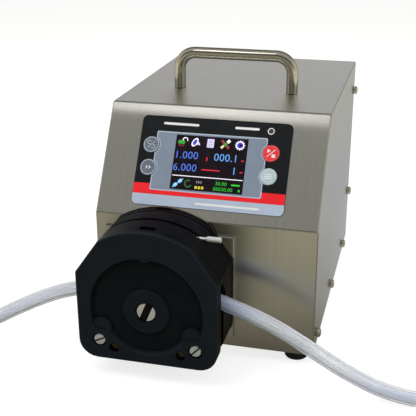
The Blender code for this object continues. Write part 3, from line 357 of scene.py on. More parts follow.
STEEL = brushed_steel()
POLISHED = polished_steel()
TURNED = turned_steel()
GROUND = ground_steel()
HEAD = head_plastic()
RUBBER = rubber()
TUBING = silicone()
FILM = printed("film_black", (0.0066, 0.0078, 0.0104), 0.36)
RED_INK = printed("film_red", (0.95, 0.020, 0.030))
PALE_INK = printed("film_pale", (0.48, 0.57, 0.73))
SURROUND_INK = printed("film_surround", (0.235, 0.290, 0.385))
OUTLINE_INK = printed("film_outline", (0.50, 0.60, 0.74))
WHITE_INK = printed("film_white", (0.86, 0.88, 0.90))
GLASS = display_glass()
KEY_GREY = plain_plastic("key_grey", (0.135, 0.170, 0.225), 0.4)
KEY_RING = plain_plastic("key_ring", (0.50, 0.56, 0.65), 0.4)
KEY_RED = plain_plastic("key_red", (0.92, 0.020, 0.032), 0.38)
KEY_MINT = plain_plastic("key_mint", (0.50, 0.64, 0.68), 0.4)
LAMP = plain_plastic("lamp_dark", (0.05, 0.05, 0.055), 0.2)
MOULDING = plain_plastic("black_moulding", (0.013, 0.013, 0.014), 0.38)
ROCKER = plain_plastic("rocker_red", (0.45, 0.012, 0.012), 0.25)
BRASS = plain_metal("brass", (0.16, 0.125, 0.06), 0.5)
# Painted shade, laid in the bottoms of screwdriver slots.
SLOT_PAINTED_SHADE = printed("slot_painted_shade", (0.0016, 0.0013, 0.0010), 0.7)
GILT = plain_metal("gilt_steel", (0.16, 0.13, 0.07), 0.3)

# Nodes that keep their CAD mesh, or a copy of it with rounded edges, and their materials.
NODE_FINISHES = {
    "casing_shell": STEEL,
    "base_chassis": STEEL,
    "mounting_plate": STEEL,
    "adapter_plate": GILT,
    "handle_bolt_left": TURNED,
    "handle_bolt_right": TURNED,
    "keypad_overlay": FILM,
    "display_screen": GLASS,
    "key_direction": KEY_GREY,
    "key_fast": KEY_GREY,
    "key_start_stop": KEY_RED,
    "key_mode": KEY_MINT,
    "status_lamp": LAMP,
    "head_front_cover": HEAD,
    "head_middle_body": HEAD,
    "head_rear_flange": HEAD,
    "occlusion_block": HEAD,
    "head_screw_left": TURNED,
    "head_screw_right": TURNED,
    "lever_arm": GROUND,
    "lever_grip": GROUND,
    "lever_pivot_pin": TURNED,
    "rotor_shaft": TURNED,
    "rotor_carrier": plain_plastic("carrier_grey", (0.32, 0.32, 0.31), 0.45),
    "roller_1": plain_plastic("roller_nylon", (0.78, 0.76, 0.70), 0.38),
    "roller_pin_1": TURNED,
    "roller_pin_2": TURNED,
    "roller_pin_3": TURNED,
    "drive_shaft": TURNED,
    "drive_gear": plain_metal("gear_steel", (0.34, 0.34, 0.35), 0.35),
    "gearbox_frame": plain_metal("machined_alloy", (0.55, 0.55, 0.54), 0.4),
    "drive_motor": plain_plastic("motor_paint", (0.04, 0.04, 0.045), 0.42, 500.0),
    "tube_in_head": TUBING,
    "power_inlet": MOULDING,
    "power_switch_housing": MOULDING,
    "power_rocker": ROCKER,
    "control_socket": plain_metal("tin_plate", (0.62, 0.60, 0.53), 0.32),
    "power_supply": plain_metal("folded_alloy", (0.58, 0.58, 0.58), 0.36),
    "control_board": plain_plastic("solder_resist", (0.015, 0.15, 0.06), 0.35, 700.0),
}
NODE_FINISHES["roller_2"] = NODE_FINISHES["roller_3"] = NODE_FINISHES["roller_1"]
NODE_FINISHES["motor_pinion"] = NODE_FINISHES["drive_gear"]
NODE_FINISHES["panel_board"] = NODE_FINISHES["control_board"]

# Nodes shown through a copy whose edges are rounded: (width, segments).
ROUNDED = {
    "casing_shell": (0.9 * MM, 3),
    "base_chassis": (0.3 * MM, 1),
    "mounting_plate": (0.4 * MM, 2),
    "adapter_plate": (0.35 * MM, 2),
    "keypad_overlay": (0.15 * MM, 2),
    "key_direction": (0.25 * MM, 2),
    "key_fast": (0.25 * MM, 2),
    "key_start_stop": (0.25 * MM, 2),
    "key_mode": (0.25 * MM, 2),
    "head_front_cover": (0.8 * MM, 3),
    "head_middle_body": (0.4 * MM, 2),
    "head_rear_flange": (0.4 * MM, 2),
    "occlusion_block": (0.4 * MM, 2),
    "head_screw_left": (0.2 * MM, 2),
    "head_screw_right": (0.2 * MM, 2),
    "rotor_shaft": (0.2 * MM, 2),
    "lever_arm": (0.15 * MM, 2),
    "power_inlet": (0.3 * MM, 2),
    "power_switch_housing": (0.3 * MM, 2),
    "power_rocker": (0.4 * MM, 2),
    "control_socket": (0.2 * MM, 2),
    "power_supply": (0.3 * MM, 1),
}
SMOOTH_ANGLE = math.radians(33)


# ---------------------------------------------------------------------------------------------
# Piece making
# ---------------------------------------------------------------------------------------------


def body_of(node):
    bodies = frame["record"]["behaviour"]["bodies"]
    return next(body for body, members in bodies.items() if node in members)


def piece(name, mesh, material, body="case"):
    """A piece from a bmesh drawn in the row frame."""
    bmesh.ops.recalc_face_normals(mesh, faces=mesh.faces)
    data = bpy.data.meshes.new(name)
    mesh.to_mesh(data)
    mesh.free()
    data.materials.append(material)
    data.shade_smooth()
    data.set_sharp_from_angle(angle=SMOOTH_ANGLE)
    obj = bpy.data.objects.new(name, data)
    bpy.context.scene.collection.objects.link(obj)
    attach(obj, body)
    return obj


def stand_for(node):
    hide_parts(node)


def welded(node):
    """The node's mesh with its points joined and its flat areas back in whole faces."""
    mesh = bmesh.new()
    mesh.from_mesh(frame["nodes"][node].data)
    bmesh.ops.remove_doubles(mesh, verts=mesh.verts, dist=0.002 * MM)
    bmesh.ops.dissolve_limit(mesh, angle_limit=math.radians(0.6), verts=mesh.verts, edges=mesh.edges)
    return mesh


def rounded_copy(node, width, segments):
    obj = piece(f"{node}_shown", welded(node), NODE_FINISHES[node], body_of(node))
    bevel = obj.modifiers.new("rounded_edges", "BEVEL")
    bevel.limit_method = "ANGLE"
    bevel.angle_limit = SMOOTH_ANGLE
    bevel.width = width
    bevel.segments = segments
    weighted = obj.modifiers.new("even_shading", "WEIGHTED_NORMAL")
    weighted.keep_sharp = True
    stand_for(node)
    return obj


def circle(centre, radius, steps, start=0.0, end=360.0):
    """Points round a circle or, when it isn't whole, along an arc."""
    whole = abs(end - start) >= 360
    count = steps if whole else steps + 1
    angles = [math.radians(start + (end - start) * i / steps) for i in range(count)]
    return [(centre[0] + radius * math.cos(a), centre[1] + radius * math.sin(a)) for a in angles]


def rectangle(x0, x1, y0, y1, radius=0.0, steps=5):
    if not radius:
        return [(x0, y0), (x1, y0), (x1, y1), (x0, y1)]
    outline = []
    for x, y, start in (
        (x0 + radius, y0 + radius, 180), (x1 - radius, y0 + radius, 270),
        (x1 - radius, y1 - radius, 0), (x0 + radius, y1 - radius, 90),
    ):
        outline += circle((x, y), radius, steps, start, start + 90)
    return outline


def turned(name, profile, centre, along, material, steps=28):
    """A solid of revolution from (radius, distance) points, along a direction from its centre."""
    mesh = bmesh.new()
    points = [mesh.verts.new((radius, 0, distance)) for radius, distance in profile]
    edges = [mesh.edges.new(pair) for pair in zip(points, points[1:])]
    bmesh.ops.spin(
        mesh, geom=points + edges, cent=(0, 0, 0), axis=(0, 0, 1), angle=2 * math.pi, steps=steps
    )
    bmesh.ops.remove_doubles(mesh, verts=mesh.verts, dist=0.002 * MM)
    turn = Vector((0, 0, 1)).rotation_difference(Vector(along)).to_matrix().to_4x4()
    mesh.transform(Matrix.Translation(centre) @ turn)
    return piece(name, mesh, material)


def flat_shape(name, outlines, low, high, place, material, body="case"):
    """A thin plate with an outline on a plane, between two heights; further outlines are holes."""
    curve = bpy.data.curves.new(name, "CURVE")
    curve.dimensions = "2D"
    curve.fill_mode = "BOTH"
    curve.extrude = (high - low) / 2
    for outline in outlines:
        spline = curve.splines.new("POLY")
        spline.points.add(len(outline) - 1)
        spline.use_cyclic_u = True
        for knot, (a, b) in zip(spline.points, outline):
            knot.co = (a, b, 0, 1)
    curve.materials.append(material)
    obj = bpy.data.objects.new(name, curve)
    bpy.context.scene.collection.objects.link(obj)
    obj.matrix_world = place @ Matrix.Translation((0, 0, (low + high) / 2))
    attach(obj, body)
    return obj


def smooth_route(knots, per_span):
    """Points on a Catmull-Rom curve through the knots."""
    knots = [Vector(knot) for knot in knots]
    ends = [knots[0] * 2 - knots[1], *knots, knots[-1] * 2 - knots[-2]]
    route = []
    for before, start, end, after in zip(ends, ends[1:], ends[2:], ends[3:]):
        for step in range(per_span):
            t = step / per_span
            line = 2 * start + (end - before) * t
            square = (2 * before - 5 * start + 4 * end - after) * t**2
            cube = (3 * start - before - 3 * end + after) * t**3
            route.append(0.5 * (line + square + cube))
    return [*route, knots[-1]]


# ---------------------------------------------------------------------------------------------
# Camera, light and floor
# ---------------------------------------------------------------------------------------------


def camera():
    data = bpy.data.cameras.new("camera")
    data.sensor_width = 36.0
    data.lens = 73.95
    obj = bpy.data.objects.new("camera", data)
    obj.location = (0.19263, -0.84929, 0.45522)
    obj.rotation_euler = [math.radians(angle) for angle in (68.43, 0.21, 14.41)]
    bpy.context.scene.collection.objects.link(obj)
    bpy.context.scene.camera = obj


def ramp(tree, value, stops):
    """A colour ramp on a value, from (position, colour) stops."""
    made = tree.nodes.new("ShaderNodeValToRGB")
    tree.links.new(value, made.inputs[0])
    elements = made.color_ramp.elements
    while len(elements) < len(stops):
        elements.new(0.5)
    for element, (position, colour) in zip(elements, stops):
        element.position = position
        element.color = (*colour, 1)
    return made.outputs[0]


def mixed(tree, factor, first, colour):
    """A colour socket mixed with a plain colour."""
    made = tree.nodes.new("ShaderNodeMixRGB")
    tree.links.new(factor, made.inputs["Fac"])
    tree.links.new(first, made.inputs[1])
    made.inputs[2].default_value = (*colour, 1)
    return made.outputs[0]


def looked_at(tree):
    """1 where a surface is looked at, straight or through the tubing, and 0 where it is reflected."""
    path = tree.nodes.new("ShaderNodeLightPath").outputs
    unreflected = operate(tree, "LESS_THAN", path["Glossy Depth"], 0.5)
    through = operate(tree, "MULTIPLY", path["Is Transmission Ray"], unreflected)
    return operate(tree, "MAXIMUM", path["Is Camera Ray"], through)


def directions(tree, kind):
    """The X, Y and Z outputs of a texture coordinate."""
    split = tree.nodes.new("ShaderNodeSeparateXYZ")
    tree.links.new(tree.nodes.new("ShaderNodeTexCoord").outputs[kind], split.inputs[0])
    return split.outputs


def towards_sides(tree, across, start, end):
    """0 up to a distance either way from the middle, then rising to 1."""
    aside = operate(tree, "ABSOLUTE", across)
    return ramp(tree, aside, [(0.0, (0, 0, 0)), (start, (0, 0, 0)), (end, (1, 1, 1))])


def studio():
    """White to look at. In reflections it is a room, banded from front to back, with pale side walls."""
    world = bpy.data.worlds.new("studio")
    bpy.context.scene.world = world
    world.use_nodes = True
    tree = world.node_tree
    tree.nodes.clear()
    towards = directions(tree, "Generated")
    forward = operate(tree, "MULTIPLY", towards["Y"], -1)
    rise = operate(tree, "ARCTAN2", towards["Z"], forward)
    turn = operate(tree, "DIVIDE", rise, math.pi)
    # Degrees from the front horizon, over the top, to the back one.
    room = ramp(tree, turn, [(degrees / 180, colour) for degrees, colour in (
        (0, (0.28, 0.27, 0.225)),
        (14, (0.25, 0.24, 0.20)),
        (21, (0.035, 0.035, 0.03)),
        (33, (0.035, 0.035, 0.03)),
        (39, (0.33, 0.33, 0.31)),
        (50, (0.33, 0.33, 0.31)),
        (58, (0.38, 0.38, 0.36)),
        (67, (0.38, 0.37, 0.35)),
        (78, (0.38, 0.37, 0.35)),
        (98, (0.42, 0.42, 0.40)),
        (112, (0.16, 0.16, 0.15)),
        (135, (0.10, 0.10, 0.09)),
        (148, (0.48, 0.48, 0.48)),
        (180, (0.55, 0.55, 0.55)),
    )])
    walled = mixed(tree, towards_sides(tree, towards["X"], 0.66, 0.95), room, (0.60, 0.57, 0.46))
    seen = mixed(tree, looked_at(tree), walled, (1, 1, 1))
    background = tree.nodes.new("ShaderNodeBackground")
    tree.links.new(seen, background.inputs["Color"])
    output = tree.nodes.new("ShaderNodeOutputWorld")
    tree.links.new(background.outputs[0], output.inputs[0])


def floor():
    """A pale floor. In reflections it is a table, darker in front of the pump and brighter at its sides."""
    mesh = bmesh.new()
    bmesh.ops.create_grid(mesh, x_segments=1, y_segments=1, size=6.0)
    data = bpy.data.meshes.new("floor")
    mesh.to_mesh(data)
    mesh.free()
    obj = bpy.data.objects.new("floor", data)
    obj.location.z = -0.2 * MM
    bpy.context.scene.collection.objects.link(obj)
    material = bpy.data.materials.new("floor")
    data.materials.append(material)
    material.use_nodes = True
    tree = material.node_tree
    tree.nodes.clear()
    place = directions(tree, "Object")
    depth = tree.nodes.new("ShaderNodeMapRange")
    tree.links.new(place["Y"], depth.inputs["Value"])
    depth.inputs["From Min"].default_value = -0.9
    depth.inputs["From Max"].default_value = 0.6
    table = ramp(tree, depth.outputs[0], [
        (0.0, (0.20, 0.19, 0.14)),
        (0.3, (0.47, 0.45, 0.33)),
        (0.42, (0.36, 0.345, 0.26)),
        (0.51, (0.13, 0.12, 0.09)),
        (0.62, (0.44, 0.44, 0.42)),
        (0.75, (0.56, 0.58, 0.60)),
    ])
    reflected = tree.nodes.new("ShaderNodeEmission")
    widened = mixed(tree, towards_sides(tree, place["X"], 0.45, 1.0), table, (0.70, 0.67, 0.55))
    tree.links.new(widened, reflected.inputs["Color"])
    glow = tree.nodes.new("ShaderNodeEmission")
    glow.inputs["Strength"].default_value = 0.78
    matt = tree.nodes.new("ShaderNodeBsdfDiffuse")
    matt.inputs["Color"].default_value = (0.42, 0.42, 0.42, 1)
    shown = tree.nodes.new("ShaderNodeAddShader")
    tree.links.new(glow.outputs[0], shown.inputs[0])
    tree.links.new(matt.outputs[0], shown.inputs[1])
    choose = tree.nodes.new("ShaderNodeMixShader")
    tree.links.new(looked_at(tree), choose.inputs[0])
    tree.links.new(reflected.outputs[0], choose.inputs[1])
    tree.links.new(shown.outputs[0], choose.inputs[2])
    output = tree.nodes.new("ShaderNodeOutputMaterial")
    tree.links.new(choose.outputs[0], output.inputs[0])


def lights():
    """Three soft lights for form, and a smaller box above the camera that the steel shows."""
    aim = Vector((0, -0.06, 0.2))
    for name, place, size, power, mirrored in (
        ("key_light", (-0.7, -0.9, 1.5), 0.9, 11.0, False),
        ("fill_light", (1.3, -0.4, 1.1), 1.0, 7.0, False),
        ("top_light", (0.1, 0.3, 1.7), 1.2, 11.0, False),
        ("soft_box", (-0.37, -0.81, 1.60), 0.38, 1.2, True),
    ):
        data = bpy.data.lights.new(name, "AREA")
        data.size = size
        data.energy = power
        obj = bpy.data.objects.new(name, data)
        obj.location = place
        obj.visible_glossy = mirrored
        obj.rotation_euler = (aim - Vector(place)).to_track_quat("-Z", "Y").to_euler()
        bpy.context.scene.collection.objects.link(obj)
    bpy.context.scene.view_settings.view_transform = "Standard"


# ---------------------------------------------------------------------------------------------
# Free tubes
# ---------------------------------------------------------------------------------------------

TUBE_DIAMETER = 14.2 * MM
TUBE_BORE = 8.4 * MM
TUBE_Y = middle("tube_right").y
TUBE_RIGHT_ROUTE = (
    (0.0233, 0.08432), (0.031, 0.0822), (0.046, 0.0772), (0.061, 0.0716), (0.077, 0.0649),
    (0.096, 0.0549), (0.116, 0.0433), (0.131, 0.0344), (0.146, 0.0263), (0.163, 0.0184),
    (0.181, 0.0120), (0.201, 0.0082), (0.222, 0.0074), (0.240, 0.0074),
)
TUBE_LEFT_ROUTE = (
    (-0.0993, 0.08432), (-0.107, 0.0825), (-0.118, 0.0795), (-0.133, 0.0744), (-0.148, 0.0678),
    (-0.166, 0.0586), (-0.184, 0.0486), (-0.202, 0.0378), (-0.219, 0.0268), (-0.235, 0.0170),
    (-0.250, 0.0100), (-0.264, 0.0076), (-0.278, 0.0074),
)


def tube_mesh(route, outer, bore):
    """A tube with its bore, open at both ends."""
    sides = 32
    mesh = bmesh.new()
    loops = []
    for i, point in enumerate(route):
        along = (route[min(i + 1, len(route) - 1)] - route[max(i - 1, 0)]).normalized()
        out = Vector((0, 1, 0))
        up = along.cross(out)
        for radius in (outer, bore):
            loops.append([mesh.verts.new(point + out * a + up * b) for a, b in circle((0, 0), radius, sides)])
    outside, inside = loops[0::2], loops[1::2]
    strips = list(zip(outside, outside[1:])) + list(zip(inside, inside[1:]))
    strips += [(outside[0], inside[0]), (outside[-1], inside[-1])]
    unwrap = mesh.loops.layers.uv.new("round_and_along")
    for low, high in strips:
        for i in range(sides):
            j = (i + 1) % sides
            face = mesh.faces.new((low[i], low[j], high[j], high[i]))
            for loop, turn in zip(face.loops, (i, i + 1, i + 1, i)):
                loop[unwrap].uv = (turn / sides, loop.vert.co.x / (8 * outer))
    return mesh


def free_tubes():
    for name, knots in (("tube_right", TUBE_RIGHT_ROUTE), ("tube_left", TUBE_LEFT_ROUTE)):
        route = smooth_route([(x, TUBE_Y, z) for x, z in knots], 4)
        obj = piece(f"{name}_hose", tube_mesh(route, TUBE_DIAMETER / 2, TUBE_BORE / 2), TUBING)
        stand_for(name)


# ---------------------------------------------------------------------------------------------
# Casing, handle, feet and screws
# ---------------------------------------------------------------------------------------------


def handle():
    """The carry handle as a finely drawn round bar."""
    low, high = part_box("carry_handle")
    radius = (high.y - low.y) / 2
    bend = 17.0 * MM
    left, right = low.x + radius, high.x - radius
    top = high.z - radius
    path = [(left, low.z)]
    path += circle((left + bend, top - bend), bend, 14, 180, 90)
    path += circle((right - bend, top - bend), bend, 14, 90, 0)
    path += [(right, low.z)]
    curve = bpy.data.curves.new("handle_bar", "CURVE")
    curve.dimensions = "3D"
    curve.bevel_depth = radius
    curve.bevel_resolution = 8
    curve.use_fill_caps = True
    spline = curve.splines.new("POLY")
    spline.points.add(len(path) - 1)
    for knot, (x, z) in zip(spline.points, path):
        knot.co = (x, (low.y + high.y) / 2, z, 1)
    spline.use_smooth = True
    curve.materials.append(POLISHED)
    obj = bpy.data.objects.new("handle_bar", curve)
    bpy.context.scene.collection.objects.link(obj)
    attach(obj, "case")
    stand_for("carry_handle")


def feet():
    for side in ("front_left", "front_right", "rear_left", "rear_right"):
        node = f"foot_{side}"
        low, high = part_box(node)
        radius = (high.x - low.x) / 2
        base = Vector(((low.x + high.x) / 2, (low.y + high.y) / 2, 0))
        top = CASE_LOW.z - 0.3 * MM
        profile = [
            (0, 0.6 * MM), (radius * 0.45, 0.6 * MM), (radius * 0.5, 0), (radius - 2.6 * MM, 0),
            (radius - 1.2 * MM, 0.4 * MM), (radius - 0.4 * MM, 1.6 * MM), (radius, 3.6 * MM),
            (radius, 7.0 * MM), (radius - 0.5 * MM, top), (3.0 * MM, top), (3.0 * MM, high.z), (0, high.z),
        ]
        obj = turned(f"{node}_rubber", profile, base, (0, 0, 1), RUBBER, steps=40)
        stand_for(node)


def cover_screws():
    """Domed screws on a plain washer and a spring washer."""
    for side, sign in (("left", -1), ("right", 1)):
        for number in range(1, 6):
            node = f"cover_screw_{side}_{number}"
            low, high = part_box(node)
            radius = (high.y - low.y) / 2
            face = CASE_HIGH.x
            tip = max(abs(low.x), abs(high.x))
            start = Vector((0, (low.y + high.y) / 2, (low.z + high.z) / 2))
            washer = face + 1.0 * MM
            profile = [
                (0, face - 7.0 * MM), (1.8 * MM, face - 7.0 * MM), (1.8 * MM, face + 0.12 * MM),
                (radius - 0.25 * MM, face + 0.12 * MM), (radius - 0.05 * MM, face + 0.25 * MM),
                (radius - 0.05 * MM, washer - 0.1 * MM), (radius - 0.25 * MM, washer),
                (radius - 1.7 * MM, washer), (radius - 1.7 * MM, washer + 0.8 * MM),
                (radius - 0.2 * MM, washer + 0.8 * MM), (radius, washer + 1.0 * MM),
                (radius, tip - 1.9 * MM), (radius - 0.35 * MM, tip - 1.2 * MM),
                (radius - 1.2 * MM, tip - 0.5 * MM), (radius - 2.4 * MM, tip - 0.1 * MM), (0, tip),
            ]
            obj = turned(f"{node}_head", profile, start, (sign, 0, 0), POLISHED)
            stand_for(node)


FRONT = Matrix(((1, 0, 0, 0), (0, 0, -1, 0), (0, 1, 0, 0), (0, 0, 0, 1)))


def painted_slot_shade(node, width, length, tilt, floor, depth):
    """Painted shade: a dark bar at the bottom of a screwdriver slot in a front-facing head, standing in for
    the shade in the slot.
    """
    centre = middle(node)
    half = Vector((math.cos(tilt), math.sin(tilt))) * (length / 2)
    at = Vector((centre.x, centre.z))
    outline = bar_between(at - half, at + half, width / 2 - 0.05 * MM)
    flat_shape(f"{node}_slot", [outline], -floor, -floor + depth, FRONT, SLOT_PAINTED_SHADE, body_of(node))


def painted_slot_shades():
    # Painted shade in the slots of the shaft end and the two head screws.
    shaft_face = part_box("rotor_shaft")[0].y
    painted_slot_shade("rotor_shaft", 7.0 * MM, 16.6 * MM, math.radians(90 - 22.8), shaft_face + 3.88 * MM, 3.2 * MM)
    for node, tilt in (("head_screw_left", 27), ("head_screw_right", 45)):
        head_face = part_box(node)[0].y
        painted_slot_shade(node, 1.5 * MM, 11.4 * MM, math.radians(tilt), head_face + 1.78 * MM, 1.4 * MM)


def drain_bushes():
    """Inside the drain holes of the head's cover sit short brass bushes."""
    axis = middle("rotor_shaft")
    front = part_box("head_front_cover")[0].y
    for name, side in (("drain_bush_left", -1), ("drain_bush_right", 1)):
        centre = Vector((axis.x + side * 32.8 * MM, front + 8.6 * MM, axis.z - 41.2 * MM))
        profile = [
            (0, 3.1 * MM), (0.9 * MM, 3.1 * MM), (1.1 * MM, 3.6 * MM), (3.6 * MM, 3.6 * MM),
            (4.1 * MM, 3.2 * MM), (4.4 * MM, 2.6 * MM), (4.4 * MM, -0.1 * MM), (0, -0.1 * MM),
        ]
        turned(name, profile, centre, (0, -1, 0), BRASS)


# ---------------------------------------------------------------------------------------------
# Control panel
# ---------------------------------------------------------------------------------------------

LABEL_LOW, LABEL_HIGH = panel_box("keypad_overlay")
SCREEN_LOW, SCREEN_HIGH = panel_box("display_screen")
INK = 0.06 * MM
PALE_TOP = LABEL_LOW.y + 11.0 * MM
RED_TOP = LABEL_LOW.y + 21.5 * MM
SURROUND = (-58.3 * MM, 52.3 * MM, LABEL_LOW.y + 15.4 * MM, LABEL_LOW.y + 74.9 * MM)
KEY_GAP = 0.35 * MM
# Heights of the display's digits, and how far down the display its two rows of symbols lie.
TALL, SMALL = 7.4 * MM, 3.5 * MM
TOP_ROW, LOW_ROW = 0.115, 0.885
KEYS_LEFT = ("key_direction", "key_fast")
KEYS_RIGHT = ("key_start_stop", "key_mode")


def key_place(node):
    low, high = panel_box(node)
    return (low.x + high.x) / 2, (low.y + high.y) / 2, (high.x - low.x) / 2, high.z


def beside_keys(edge, keys, upwards, margin):
    """Points up or down an edge of the surround, round the holes of the keys that it meets."""
    points = []
    for node in sorted(keys, key=lambda key: key_place(key)[1] * (1 if upwards else -1)):
        x, s, radius, _ = key_place(node)
        radius += margin
        half = math.degrees(math.acos(min(abs(edge - x) / radius, 1)))
        if edge > x:
            start, end = -half, half
        else:
            start, end = 180 + half, 180 - half
        if not upwards:
            start, end = end, start
        points += circle((x, s), radius, 12, start, end)
    return points


def surround_outline(inset, margin):
    """The display's surround, with rounded corners and notched by the keys."""
    x0, x1, s0, s1 = SURROUND
    x0, x1, s0, s1 = x0 + inset, x1 - inset, s0 + inset, s1 - inset
    corner = 1.6 * MM
    outline = circle((x0 + corner, s0 + corner), corner, 5, 180, 270)
    outline += circle((x1 - corner, s0 + corner), corner, 5, 270, 360)
    outline += beside_keys(x1, KEYS_RIGHT, True, margin)
    outline += circle((x1 - corner, s1 - corner), corner, 5, 0, 90)
    outline += circle((x0 + corner, s1 - corner), corner, 5, 90, 180)
    outline += beside_keys(x0, KEYS_LEFT, False, margin)
    return outline


def panel_print():
    """Coloured bands, the display's surround and three plain marks on the film."""
    face = LABEL_HIGH.z

    def ink(name, outlines, material, low=0.0, high=1.0):
        flat_shape(name, outlines, face + low * INK, face + high * INK, PANEL, material)

    corner, edge = 5.2 * MM, 0.25 * MM
    x0, x1, s0 = LABEL_LOW.x + edge, LABEL_HIGH.x - edge, LABEL_LOW.y + edge
    pale = circle((x0 + corner, s0 + corner), corner, 6, 180, 270)
    pale += circle((x1 - corner, s0 + corner), corner, 6, 270, 360)
    ink("band_pale", [[*pale, (x1, PALE_TOP), (x0, PALE_TOP)]], PALE_INK)
    left, right = SCREEN_LOW.x - KEY_GAP, SCREEN_HIGH.x + KEY_GAP
    low, high = SCREEN_LOW.y - KEY_GAP, SCREEN_HIGH.y + KEY_GAP
    red = [
        (x0, PALE_TOP + 0.1 * MM), (x1, PALE_TOP + 0.1 * MM), (x1, RED_TOP), (right, RED_TOP),
        (right, low), (left, low), (left, RED_TOP), (x0, RED_TOP),
    ]
    ink("band_red", [red], RED_INK)
    hole = rectangle(left, right, low, high)
    ink("surround_outline", [surround_outline(0, KEY_GAP), hole], OUTLINE_INK, 1.0, 1.5)
    ink("surround", [surround_outline(1.0 * MM, 1.2 * MM), hole], SURROUND_INK, 1.5, 2.0)

    top = SURROUND[3] + 8.2 * MM
    for name, x, width in (("mark_left", -53.0 * MM, 36 * MM), ("mark_right", 19.0 * MM, 24 * MM)):
        ink(name, [rectangle(x, x + width, top - 1.2 * MM, top + 1.2 * MM, 1.1 * MM)], WHITE_INK)
    line = rectangle(-11 * MM, 52 * MM, LABEL_LOW.y + 4.1 * MM, LABEL_LOW.y + 6.1 * MM, 0.9 * MM)
    ink("mark_low", [line], WHITE_INK, 1.0, 1.5)


def in_screen(u, v):
    """A point of the display, across and down in fractions of its size."""
    x = SCREEN_LOW.x + (SCREEN_HIGH.x - SCREEN_LOW.x) * u
    s = SCREEN_HIGH.y - (SCREEN_HIGH.y - SCREEN_LOW.y) * v
    return x, s


def digits(name, text, u, v, height, material):
    """A row of digits on the display, its left end and middle at (u, v)."""
    font = bpy.data.curves.new(name, "FONT")
    font.body = text
    font.size = height / 0.72
    font.space_character = 1.06
    font.align_x = "LEFT"
    font.align_y = "CENTER"
    font.extrude = INK / 4
    font.materials.append(material)
    obj = bpy.data.objects.new(name, font)
    bpy.context.scene.collection.objects.link(obj)
    x, s = in_screen(u, v)
    obj.matrix_world = PANEL @ Matrix.Translation((x, s, SCREEN_HIGH.z + INK / 2))
    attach(obj, "case")


def screen_shape(name, outlines, material, level=0):
    low = SCREEN_HIGH.z + INK * (0.2 + 0.5 * level)
    flat_shape(name, outlines, low, low + INK * 0.4, PANEL, material)


def bar_between(a, b, half):
    """The outline of a straight bar of a half width between two points."""
    start, end = Vector(a), Vector(b)
    across = (end - start).normalized()
    across = Vector((-across.y, across.x)) * half
    return [tuple(start + across), tuple(start - across), tuple(end - across), tuple(end + across)]


